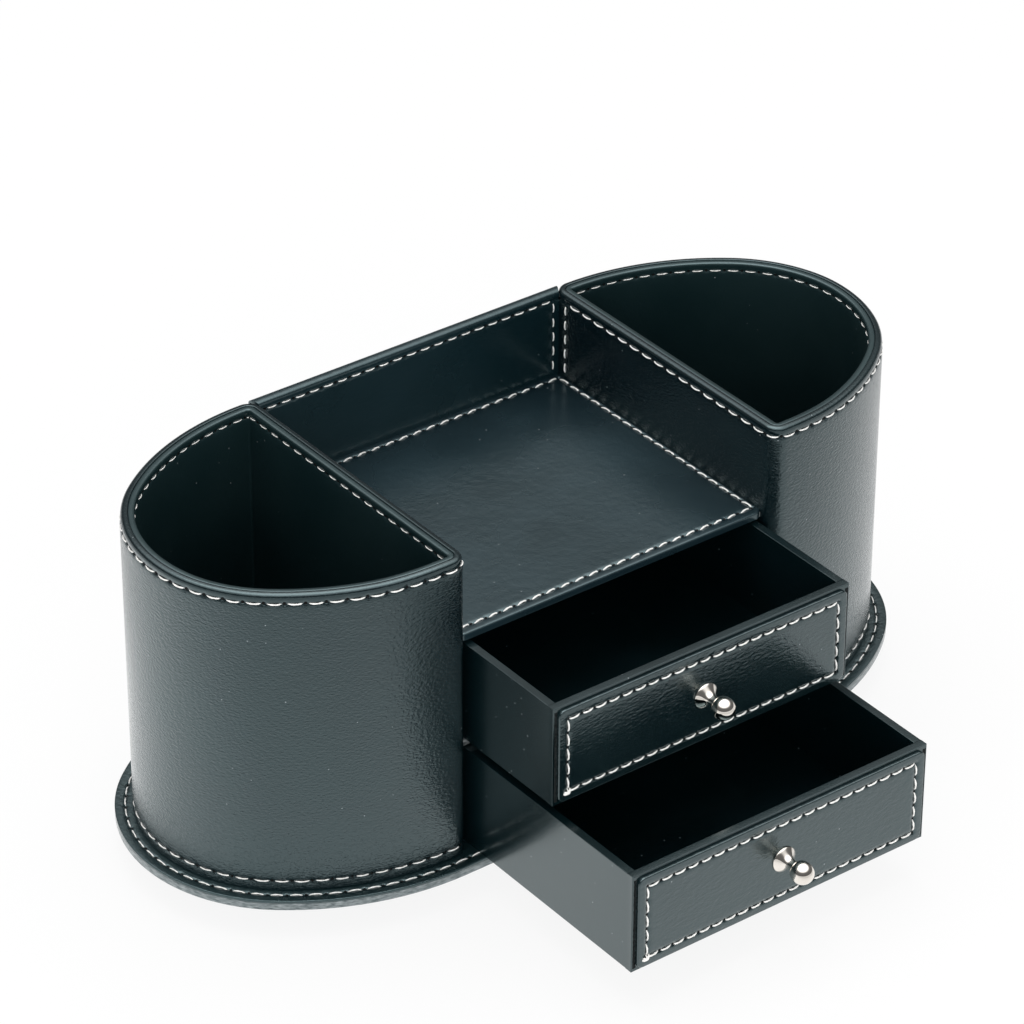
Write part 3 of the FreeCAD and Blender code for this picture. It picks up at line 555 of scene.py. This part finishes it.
for piece, material, slot, node in (
    (outer, cup_cloth, "leather", "cup_leather"),
    (inner, lining_cloth, "lining", "cup_lining"),
    (outer_rim, None, "leather", None),
    (outer_foot, None, "leather", None),
    (outer_side, None, "leather", None),
    (inner_rim, None, "lining", None),
):
    twin = piece.copy()
    twin.data = piece.data.copy()
    twin.name = piece.name.replace("right", "left")
    bpy.context.scene.collection.objects.link(twin)
    twin.data.transform(Matrix.Scale(-1, 4, (1, 0, 0)))
    twin.data.flip_normals()
    stand_in(piece, "organizer", material, slot, *(["right_" + node] if node else []))
    stand_in(twin, "organizer", material, slot, *(["left_" + node] if node else []))

# Back wall. A thin fibreboard panel between the two cups, behind the tray.
# One sheet of leathercloth is folded over its top edge, and sewn through along the top and both ends.

wall_front, wall_rear, wall_end, wall_reach = 45.1, 48.5, 48.2, 50.18
wall_seam, in_groove = 101.35, 0.26
wall_count = 21
wall_pitch = 2 * wall_end * mm / wall_count
face_rows = [13.9, 14.3, 14.6, 14.9, 15.3, 16, 30, 46, 62, 77, 86, 94, 99]
fold = [(0.0, 100.2), (0.05, 100.75), (0.18, 101.1), (0.3, 101.35), (0.22, 101.6), (0.08, 101.9), (0.0, 102.3),
        (0.02, 102.9), (0.14, 103.4), (0.4, 103.75), (0.85, 103.95)]
front_side = [(wall_front + inward, up) for inward, up in [(0, row) for row in face_rows] + fold]
rear_hem = {13.9: 0.02, 14.3: 0.2, 14.6: 0.3, 14.9: 0.2, 15.3: 0.04}
rear_side = [(wall_rear - inward, up) for inward, up in [(rear_hem.get(row, 0), row) for row in face_rows] + fold]
wall_section = [
    (wall_front + 0.3, 11.92), (wall_front, 12.1), *front_side, (46.8, 104.0), *reversed(rear_side),
    (wall_rear, 12.1), (wall_rear - 0.3, 11.92), (wall_rear - 0.75, 11.92), (wall_rear - 0.75, 103.22),
    (wall_front + 0.75, 103.22), (wall_front + 0.75, 11.92)]
wall_cloth = leathercloth("wall_leathercloth", (0.002, 0.01, 0.013), (0.004, 0.014, 0.019), 0.28,
                          (2.6 * mm, 2.6 * mm, 1.4 * mm), 0.08 * mm, 0.025 * mm)
back_sheet = sewn_tile("back_wall_leather", wall_section, wall_pitch,
                       [(wall_front + 0.3, wall_seam, 0.25, 0), (wall_rear - 0.3, wall_seam, -0.25, 0),
                        (wall_rear - 0.3, foot_seam, -0.25, 0)])
repeat(back_sheet, wall_pitch, wall_count, merge=True)
back_sheet.data.transform(Matrix.Translation((-wall_end * mm, 0, 0)))
for way in (-1, 1):
    only(back_sheet)
    bpy.ops.object.mode_set(mode="EDIT")
    bpy.ops.mesh.select_all(action="DESELECT")
    bpy.ops.object.mode_set(mode="OBJECT")
    for corner in back_sheet.data.vertices:
        corner.select = corner.co.x * way > (wall_end - 0.01) * mm
    bpy.ops.object.mode_set(mode="EDIT")
    bpy.ops.mesh.extrude_region_move(TRANSFORM_OT_translate={"value": (way * (wall_reach - wall_end) * mm, 0, 0)})
    bpy.ops.mesh.edge_face_add()
    bpy.ops.object.mode_set(mode="OBJECT")
    for corner in back_sheet.data.vertices:
        if corner.co.x * way > (wall_reach - 0.08) * mm:
            bay = math.sqrt(max(0, corner_radius ** 2 - (corner.co.y / mm - corner_at) ** 2))
            corner.co.x = way * min(straight_end - bay + 0.03, 51.4) * mm
face_out(back_sheet, 60)
stand_in(back_sheet, "organizer", wall_cloth, "leather", "back_leather")
coat(board, "back_board")
to_front, to_rear = (0, -1, 0), (0, 1, 0)
front_groove, rear_groove = wall_front + in_groove, wall_rear - in_groove
for name, start, end, depth, facing, count, seed in (
    ("top", (-wall_end, wall_seam), (wall_end, wall_seam), front_groove, to_front, wall_count, 21),
    ("rear", (wall_end, wall_seam), (-wall_end, wall_seam), rear_groove, to_rear, wall_count, 22),
    ("foot", (wall_end, foot_seam), (-wall_end, foot_seam), rear_groove, to_rear, wall_count, 23),
    ("left", (-wall_end, above_tray), (-wall_end, wall_seam), wall_front, to_front, 5, 24),
    ("right", (wall_end, above_tray), (wall_end, wall_seam), wall_front, to_front, 5, 25),
    ("rear_left", (-wall_end, foot_seam), (-wall_end, wall_seam), wall_rear, to_rear, 19, 26),
    ("rear_right", (wall_end, foot_seam), (wall_end, wall_seam), wall_rear, to_rear, 19, 27),
):
    row = seam_line("back_wall_" + name + "_seam", (start[0], depth, start[1]), (end[0], depth, end[1]), facing,
                    count, seed, sag=0.02, thick=0.23, gap=1.2)
    stand_in(row, "organizer", None, "leather")

# Middle shelf. A fibreboard shelf between the drawers, wrapped in the same leathercloth as the base's edge.
# It is glued between the cups' flat walls, and the upper drawer slides on it.

coat(edge_cloth, "middle_shelf")

# Memo tray. A thin fibreboard panel roofs the drawers. A sheet of leathercloth is drawn over its front
# edge, and sewn all round, 3 mm behind the front edge and close to the walls.

tray_top, tray_front, tray_back, tray_side = 77.5, -44.35, 45.1, 49.95
lip_seam, side_seam, rear_seam = -41.35, 48.9, 43.2
across_count, along_count = 21, 18


def lines_between(start, end, count):
    """The lines of a net between two corners of a seam: close together at each needle hole."""
    pitch = (end - start) / count
    return [start + (hole + share) * pitch for hole in range(count) for share in (0.07, 0.16, 0.5, 0.84, 0.93, 1)][:-1]


def net(name, columns, rows, place):
    """A sheet of leathercloth: a net of lines, with each crossing put in its place."""
    bpy.ops.object.select_all(action="DESELECT")
    bpy.ops.mesh.primitive_grid_add(x_subdivisions=len(columns) - 1, y_subdivisions=len(rows) - 1, size=2)
    sheet = bpy.context.object
    sheet.name = name
    for corner in sheet.data.vertices:
        column = round((corner.co.x + 1) / 2 * (len(columns) - 1))
        row = round((corner.co.y + 1) / 2 * (len(rows) - 1))
        corner.co = Vector(place(columns[column], rows[row])) * mm
    return sheet


def sunk(across, along, seams):
    """How far the thread pulls a sheet in at a place, in mm: a groove on each seam and a dimple at each hole.
    A seam is its start, its end and its count of stitches."""
    depth = 0
    for start, end, count in seams:
        length = math.dist(start, end)
        way = [(end[0] - start[0]) / length, (end[1] - start[1]) / length]
        run = (across - start[0]) * way[0] + (along - start[1]) * way[1]
        off = abs((across - start[0]) * way[1] - (along - start[1]) * way[0])
        over = max(0, -run, run - length)
        if off > 2 or over > 2:
            continue
        pitch = length / count
        to_hole = abs(run - round(min(max(run, 0), length) / pitch) * pitch)
        groove = 0.22 * math.exp(-(off / 0.42) ** 2 - (over / 0.4) ** 2)
        dimple = 0.26 * math.exp(-(off / 0.5) ** 2 - (to_hole / 0.5) ** 2)
        depth = max(depth, groove + dimple)
    return depth


tray_corners = [(-side_seam, lip_seam), (side_seam, lip_seam), (side_seam, rear_seam), (-side_seam, rear_seam)]
tray_seams = [
    (tray_corners[0], tray_corners[1], across_count), (tray_corners[1], tray_corners[2], along_count),
    (tray_corners[3], tray_corners[2], across_count), (tray_corners[0], tray_corners[3], along_count)]
side_lines = [0, 0.12, 0.35, 0.6, 0.82, 1.05, 1.3, 1.6, 2.1, 3]
columns = [-tray_side + line for line in side_lines]
columns += [line for line in lines_between(-side_seam, side_seam, across_count) if abs(line) < tray_side - 3.3]
columns += [tray_side - line for line in reversed(side_lines)]
lip_roll = [(0.8, 75.35), (0.3, 75.32), (0.06, 75.45), (0, 75.8), (0, 76.4), (0.0, 76.95), (0.05, 77.2),
            (0.17, 77.38), (0.34, 77.48), (0.56, 77.52), (1.1, 77.52), (1.9, 77.5), (2.4, 77.5), (2.65, 77.5),
            (2.85, 77.5), (3.0, 77.5), (3.15, 77.5), (3.35, 77.5), (3.7, 77.5), (4.3, 77.5)]
rows = [(tray_front + back_by, up) for back_by, up in lip_roll]
rows += [(line, tray_top) for line in lines_between(lip_seam, rear_seam, along_count)
         if lip_seam + 1.6 < line < rear_seam - 1]
rows += [(tray_back - line, tray_top) for line in (2.6, 2.3, 2.05, 1.9, 1.75, 1.5, 1.2, 0.7, 0.15, 0.02)]


def tray_place(column, row):
    """A crossing of the tray's net. The two front corners are cut round."""
    along, up = row
    from_side, corner_cut = tray_side - abs(column), 1.6
    if along < tray_front + 2 and from_side < corner_cut:
        along += (corner_cut - from_side) ** 2 * 0.4
    return column, along, up - (sunk(column, along, tray_seams) if up > 77.4 else 0)


tray_sheet = net("tray_leather_sheet", columns, rows, tray_place)
wall = tray_sheet.modifiers.new("thickness", "SOLIDIFY")
wall.thickness = 0.5 * mm
wall.offset = -1
only(tray_sheet)
bpy.ops.object.modifier_apply(modifier="thickness")
face_out(tray_sheet, 50)
tray_cloth = leathercloth("tray_leathercloth", (0.006, 0.015, 0.02), (0.009, 0.021, 0.028), 0.28,
                          (2.4 * mm, 2.4 * mm, 2.4 * mm), 0.06 * mm, 0.025 * mm)
stand_in(tray_sheet, "organizer", tray_cloth, "leather", "tray_leather")
coat(edge_cloth, "tray_board")
for name, (start, end, count), seed in zip(("lip", "right", "rear", "left"), tray_seams, (31, 32, 33, 34)):
    row = seam_line("tray_" + name + "_seam", (*start, 77.32), (*end, 77.32), (0, 0, 1), count, seed,
                    lean=0.34, sag=0.05, thick=0.29, gap=0.8)
    stand_in(row, "organizer", None, "leather")

# Drawers. Two equal boxes of thin board, wrapped in smooth black leathercloth inside and out.
# A sewn leathercloth patch with turned edges is glued on each front.

drawer_cloth = leathercloth("drawer_leathercloth", (0.001, 0.005, 0.006), (0.002, 0.008, 0.01), 0.21,
                            (7 * mm, 7 * mm, 7 * mm), 0.03 * mm, 0.012 * mm, film=0.4)
rise_to_upper = Vector((0, 33.2, 32.7)) * mm
front_face, drawer_floor, box_half, drawer_height = -115.1, 12.1, 48.75, 29.9
drawer_rim = drawer_floor + drawer_height
shortest_board_edge = 9


def softened(node, width, chosen):
    """A copy of a board with the edges that show slightly rounded, as a wrapped board's are."""
    source = frame["nodes"][node]
    piece = source.copy()
    piece.data = source.data.copy()
    piece.name = node + "_wrap"
    bpy.context.scene.collection.objects.link(piece)
    only(piece)
    bpy.ops.object.mode_set(mode="EDIT")
    bpy.ops.mesh.select_all(action="SELECT")
    bpy.ops.mesh.remove_doubles(threshold=0.002 * mm)
    bpy.ops.mesh.dissolve_limited(angle_limit=math.radians(3))
    bpy.ops.mesh.select_mode(type="EDGE")
    bpy.ops.mesh.select_all(action="DESELECT")
    bpy.ops.object.mode_set(mode="OBJECT")
    for edge in piece.data.edges:
        ends = [piece.data.vertices[corner].co / mm for corner in edge.vertices]
        edge.select = chosen(*ends)
    bpy.ops.object.mode_set(mode="EDIT")
    bpy.ops.mesh.bevel(offset=width * mm, segments=3, affect="EDGES")
    bpy.ops.mesh.select_mode(type="VERT")
    bpy.ops.object.mode_set(mode="OBJECT")
    bpy.ops.object.shade_smooth_by_angle(angle=math.radians(35))
    flat = piece.modifiers.new("flat_faces", "WEIGHTED_NORMAL")
    flat.keep_sharp = True
    bpy.ops.object.modifier_apply(modifier="flat_faces")
    return piece


def on(level, axis, *ends):
    """Whether an edge's ends both lie on a level."""
    return all(abs(end[axis] - level) < 0.05 for end in ends)


def runs(axis, start, end):
    """Whether an edge is one of the board's long ones, along an axis."""
    return abs(start[axis] - end[axis]) > shortest_board_edge


pad_half, pad_low, pad_high, pad_seam = 47.5, 12.9, 41.0, 2.95
patch_profile = [(0, 0), (0, 0.6), (0.05, 0.78), (0.16, 0.9), (0.32, 0.95), (0.6, 0.96), (0.95, 0.98), (1.4, 1.0),
                 (1.9, 1.0), (2.3, 0.98), (2.6, 0.95), (2.8, 0.94), (2.95, 0.94), (3.1, 0.94), (3.35, 0.96),
                 (3.8, 0.99), (4.5, 1.0)]
patch_wide, patch_tall = 2 * pad_half, pad_high - pad_low
patch_rows = (21, 5)
patch_corners = [(pad_seam, pad_seam), (patch_wide - pad_seam, pad_seam),
                 (patch_wide - pad_seam, patch_tall - pad_seam), (pad_seam, patch_tall - pad_seam)]
patch_seams = [
    (patch_corners[0], patch_corners[1], patch_rows[0]), (patch_corners[1], patch_corners[2], patch_rows[1]),
    (patch_corners[3], patch_corners[2], patch_rows[0]), (patch_corners[0], patch_corners[3], patch_rows[1])]


def patch_lines(length, count):
    """The lines of a patch's net along one side, each with its place in the edge's profile."""
    near = [(place, ring) for ring, (place, _) in enumerate(patch_profile)]
    middle = [(place, 99) for place in lines_between(pad_seam, length - pad_seam, count) if 4.8 < place < length - 4.8]
    return near + middle + [(length - place, ring) for place, ring in reversed(near)]


def patch_place(column, row):
    """A crossing of a patch's net, on the drawer's front. Its corners are cut round."""
    across, along = column[0], row[0]
    height = patch_profile[min(column[1], row[1], len(patch_profile) - 1)][1]
    height -= sunk(across, along, patch_seams) if height > 0.9 else 0
    radius = 2.0
    off_x = radius - min(across, patch_wide - across)
    off_z = radius - min(along, patch_tall - along)
    if off_x > 0 and off_z > 0:
        inward = 1 - max(off_x, off_z) / math.hypot(off_x, off_z)
        across += off_x * inward * (1 if across < radius else -1)
        along += off_z * inward * (1 if along < radius else -1)
    return across - pad_half, front_face - height, along + pad_low


patch = net("lower_drawer_patch", patch_lines(patch_wide, patch_rows[0]), patch_lines(patch_tall, patch_rows[1]),
            patch_place)
only(patch)
bpy.ops.object.mode_set(mode="EDIT")
bpy.ops.mesh.select_all(action="SELECT")
bpy.ops.mesh.remove_doubles(threshold=0.002 * mm)
bpy.ops.mesh.select_all(action="DESELECT")
bpy.ops.mesh.select_non_manifold()
bpy.ops.mesh.edge_face_add()
bpy.ops.object.mode_set(mode="OBJECT")
face_out(patch, 50)
patch_cloth = leathercloth("patch_leathercloth", (0.003, 0.009, 0.011), (0.005, 0.013, 0.015), 0.23,
                           (1.8 * mm, 1.8 * mm, 0.8 * mm), 0.1 * mm, 0.04 * mm, film=0.6)

patch_threads = []
for name, (start, end, count), seed in zip(("bottom", "right", "top", "left"), patch_seams, (41, 42, 43, 44)):
    form = {"lean": 0.24, "sag": 0.03} if count > 9 else {"lean": 0.1, "sag": 0.02}
    ends = [(place[0] - pad_half, front_face - 0.8, place[1] + pad_low) for place in (start, end)]
    patch_threads.append(seam_line("lower_drawer_" + name + "_seam", *ends, (0, -1, 0), count, seed,
                                   thick=0.29, gap=0.6, hole=0.34, **form))
knot = None
for number, (turn, size) in enumerate(((22, 3.0), (40, 2.7), (6, 2.5), (75, 1.8), (160, 1.2))):
    loop = one_stitch("lower_drawer_knot", size * mm, sag=0.25, thick=0.32, gap=0, hole=0)
    loop.data.transform(
        Matrix.Translation(((pad_seam - pad_half - 0.6) * mm, (front_face - 1.0 - 0.05 * number) * mm,
                            (pad_low + pad_seam - 0.3) * mm))
        @ Matrix.Rotation(math.radians(-turn), 4, "Y") @ Matrix.Translation((-0.4 * size * mm, 0, 0)))
    if knot:
        only(loop)
        knot.select_set(True)
        bpy.context.view_layer.objects.active = knot
        bpy.ops.object.join()
    else:
        knot = loop
patch_threads.append(knot)


# Between each drawer front's edge and its patch lies a thin, ragged, near-black strip that hardly reflects: painted
# shadow standing in for the shadowed gap there.
gap_shadow_paint = finish("raw_board_end", (0.001, 0.002, 0.002), 0.8, Specular_IOR_Level=0.08)
blotches(gap_shadow_paint, 0.6 * mm, (0.0005, 0.001, 0.001), (0.022, 0.027, 0.028), detail=4)
roughen(gap_shadow_paint, 0.4 * mm, 0.15 * mm, 0.6, 0.9)
shadow_steps = 60
chance = random.Random(45)
for side in (-1, 1):
    heights = [pad_low + 0.2 + step * (pad_high - pad_low - 0.4) / shadow_steps for step in range(shadow_steps + 1)]
    across = {0: [box_half - 0.3 - chance.uniform(0, 0.15) for _ in heights],
              1: [pad_half - 0.1 + chance.uniform(-0.1, 0.35) for _ in heights]}
    strip = net("lower_drawer_raw_edge_" + ("left" if side < 0 else "right"), (0, 1), range(shadow_steps + 1),
                lambda column, row: (side * across[column][row], front_face - 0.04, heights[row]))
    wall = strip.modifiers.new("thickness", "SOLIDIFY")
    wall.thickness = 0.1 * mm
    wall.offset = 1 if side > 0 else -1
    only(strip)
    bpy.ops.object.modifier_apply(modifier="thickness")
    face_out(strip, 40)
    strip.data.materials.append(gap_shadow_paint)
    patch_threads.append(strip)


def to_upper(piece):
    """The same piece on the upper drawer."""
    twin = piece.copy()
    twin.data = piece.data.copy()
    twin.name = piece.name.replace("lower", "upper")
    bpy.context.scene.collection.objects.link(twin)
    twin.data.transform(Matrix.Translation(rise_to_upper))
    return twin


boards = {
    "front": lambda a, b: on(front_face, 1, a, b) or on(drawer_rim, 2, a, b) and runs(0, a, b),
    "side_left": lambda a, b: runs(1, a, b) and (on(drawer_rim, 2, a, b) or on(-box_half, 0, a, b)),
    "side_right": lambda a, b: runs(1, a, b) and (on(drawer_rim, 2, a, b) or on(box_half, 0, a, b)),
    "back": lambda a, b: on(drawer_rim, 2, a, b) and runs(0, a, b),
}
wrap_radius = 0.16
for part, chosen in boards.items():
    wrapped = softened("lower_drawer_" + part, wrap_radius, chosen)
    stand_in(to_upper(wrapped), "upper_drawer", drawer_cloth, "drawer_wrap", "upper_drawer_" + part)
    stand_in(wrapped, "lower_drawer", drawer_cloth, "drawer_wrap", "lower_drawer_" + part)
stand_in(to_upper(patch), "upper_drawer", patch_cloth, "pad_leather", "upper_drawer_front_pad")
stand_in(patch, "lower_drawer", patch_cloth, "pad_leather", "lower_drawer_front_pad")
for row in patch_threads:
    stand_in(to_upper(row), "upper_drawer", None, "pad_leather")
    stand_in(row, "lower_drawer", None, "pad_leather")
coat(drawer_cloth, "lower_drawer_bottom", "upper_drawer_bottom")

# Knobs. Turned brass, nickel plated and polished: a flared foot, a short neck and a round head.
# A pan-head screw through the drawer's front holds each one.

nickel = finish("polished_nickel", (0.93, 0.88, 0.81), 0.06, Metallic=1.0)
blotches(nickel, 3 * mm, (0.88, 0.83, 0.76), (0.96, 0.915, 0.85))
roughen(nickel, 0.8 * mm, 0.001 * mm, 0.04, 0.09)
turned_profile = [
    (0.02, 0), (3.6, 0), (3.7, 0.1), (3.7, 0.38), (3.62, 0.5), (3.3, 0.8), (2.88, 1.2), (2.45, 1.6), (2.05, 2.02),
    (1.76, 2.5), (1.58, 3.0), (1.5, 3.6), (1.5, 4.5), (1.56, 4.82), (1.85, 5.0), (2.35, 5.25), (2.75, 5.7), (3.0, 6.3),
    (3.12, 7.0), (3.15, 7.6), (3.08, 8.2), (2.9, 8.8), (2.6, 9.35), (2.2, 9.82), (1.7, 10.22), (1.1, 10.52),
    (0.5, 10.67), (0.02, 10.7)]
bpy.ops.object.select_all(action="DESELECT")
bpy.ops.mesh.primitive_circle_add(vertices=len(turned_profile))
knob = bpy.context.object
knob.name = "lower_drawer_turned_knob"
knob_height = drawer_floor + 14.9
for corner, (radius, out) in zip(knob.data.vertices, turned_profile):
    corner.co = (radius * mm, (front_face - 1 - out) * mm, knob_height * mm)
bpy.ops.object.mode_set(mode="EDIT")
bpy.ops.mesh.select_all(action="SELECT")
bpy.ops.mesh.spin(steps=56, angle=2 * math.pi, center=(0, 0, knob_height * mm), axis=(0, 1, 0))
bpy.ops.mesh.select_all(action="SELECT")
bpy.ops.mesh.remove_doubles(threshold=0.03 * mm)
bpy.ops.object.mode_set(mode="OBJECT")
face_out(knob, 38)
stand_in(to_upper(knob), "upper_drawer", nickel, "nickel", "upper_drawer_knob")
stand_in(knob, "lower_drawer", nickel, "nickel", "lower_drawer_knob")
coat(zinc, "lower_drawer_knob_screw", "upper_drawer_knob_screw")

# Table, light and camera. A white table and a white studio round it, as in a catalogue picture.
# The camera looks from the front left, 32 degrees above the table.

bpy.ops.object.select_all(action="DESELECT")
bpy.ops.mesh.primitive_plane_add(size=3)
table = bpy.context.object
table.name = "table"
table_white = finish("white_table", (0.85, 0.85, 0.85), 0.7)
# To the camera the table is white, with only a faint shadow. In reflections it glows with a painted pool of light:
# brightest close round the organizer and at a spot to its left and behind, dimmer further out.
ray = wire(table_white, "LightPath", {})
on_table = wire(table_white, "TexCoord", {}).outputs["Object"]
around = wire(table_white, "Mapping", {"Vector": on_table, "Scale": (1 / 0.52, 1 / 0.26, 1)})
near_by = wire(table_white, "TexGradient", {"Vector": around.outputs["Vector"]}, gradient_type="SPHERICAL")
falling = wire(table_white, "MapRange", {"Value": near_by.outputs["Fac"], "To Min": 0.62, "To Max": 1.36})
window_side = wire(table_white, "Mapping", {"Vector": on_table, "Location": (1.1, -0.6, 0), "Scale": (5, 5, 1)})
window = wire(table_white, "TexGradient", {"Vector": window_side.outputs["Vector"]}, gradient_type="SPHERICAL")
lit = wire(table_white, "Math", {0: window.outputs["Fac"], 1: 0.75, 2: falling.outputs["Result"]},
           operation="MULTIPLY_ADD")
level = wire(table_white, "MixRGB", {"Fac": ray.outputs["Is Glossy Ray"], "Color1": (1, 1, 1, 1),
                                     "Color2": lit.outputs[0]})
bright = wire(table_white, "Emission", {"Color": level.outputs["Color"], "Strength": 1})
seen = wire(table_white, "Math", {0: ray.outputs["Is Camera Ray"], 1: ray.outputs["Is Glossy Ray"]},
            operation="MAXIMUM")
share = wire(table_white, "Math", {0: seen.outputs[0], 1: 0.88}, operation="MULTIPLY")
both = wire(table_white, "MixShader", {
    "Fac": share.outputs[0],
    1: table_white.node_tree.nodes["Principled BSDF"].outputs[0],
    2: bright.outputs[0]})
table_white.node_tree.links.new(both.outputs[0], table_white.node_tree.nodes["Material Output"].inputs["Surface"])
table.data.materials.append(table_white)

studio = bpy.data.worlds.new("white_studio")
bpy.context.scene.world = studio
studio.use_nodes = True
walls = studio.node_tree
seen_by = wire(studio, "LightPath", {})
way = wire(studio, "SeparateXYZ", {"Vector": wire(studio, "TexCoord", {}).outputs["Generated"]})
dome = wire(studio, "ValToRGB", {"Fac": way.outputs["Z"]})
bands = dome.color_ramp.elements
bands[0].position, bands[0].color = 0.0, (1, 1, 1, 1)
bands[1].position, bands[1].color = 0.95, (1.8, 1.8, 1.8, 1)
for position, grey in ((0.02, 0.4), (0.07, 0.11), (0.45, 0.13), (0.56, 0.2), (0.68, 1.1), (0.82, 1.8)):
    bands.new(position).color = (grey, grey, grey, 1)
for_gloss = wire(studio, "MixRGB", {"Fac": seen_by.outputs["Is Glossy Ray"], "Color1": (0.88, 0.88, 0.88, 1),
                                    "Color2": dome.outputs["Color"]})
for_camera = wire(studio, "MixRGB", {"Fac": seen_by.outputs["Is Camera Ray"], "Color1": for_gloss.outputs["Color"],
                                     "Color2": (1, 1, 1, 1)})
walls.links.new(for_camera.outputs["Color"], walls.nodes["Background"].inputs["Color"])


def soft_box(name, place, size, power):
    """A soft box that faces the organizer."""
    bpy.ops.object.light_add(type="AREA", location=place)
    lamp = bpy.context.object
    lamp.name = name
    lamp.data.shape = "RECTANGLE"
    lamp.data.size, lamp.data.size_y = size
    lamp.data.energy = power
    lamp.rotation_euler = (Vector((0, 0, 0.05)) - Vector(place)).to_track_quat("-Z", "Y").to_euler()
    return lamp


soft_box("overhead_box", (0, 0.15, 1.3), (1.0, 1.0), 6)
front_fill = soft_box("front_fill", (-0.7, -1.3, 0.55), (1.0, 0.8), 9)
front_fill.visible_glossy = False

turn, rise, tilt = (math.radians(angle) for angle in (-37.122, 32.361, 0.176))
back = Vector((math.sin(turn) * math.cos(rise), -math.cos(turn) * math.cos(rise), math.sin(rise)))
level_right = Vector((math.cos(turn), math.sin(turn), 0))
level_up = back.cross(level_right)
right = level_right * math.cos(tilt) + level_up * math.sin(tilt)
up = level_up * math.cos(tilt) - level_right * math.sin(tilt)
aim, distance, shift_right, shift_up = Vector((0, 0, 0.0587)), 1.3214, 0.000031, 0.012612
place = aim + back * distance + right * shift_right + up * shift_up
camera = bpy.data.objects.new("camera", bpy.data.cameras.new("camera"))
bpy.context.scene.collection.objects.link(camera)
camera.matrix_world = Matrix((
    (right.x, up.x, back.x, place.x),
    (right.y, up.y, back.y, place.y),
    (right.z, up.z, back.z, place.z),
    (0, 0, 0, 1)))
camera.data.sensor_width = 36
camera.data.lens = 172.35
bpy.context.scene.camera = camera
bpy.context.scene.view_settings.view_transform = "Standard"

for guide in (base_guide, cup_guide):
    bpy.data.objects.remove(guide)
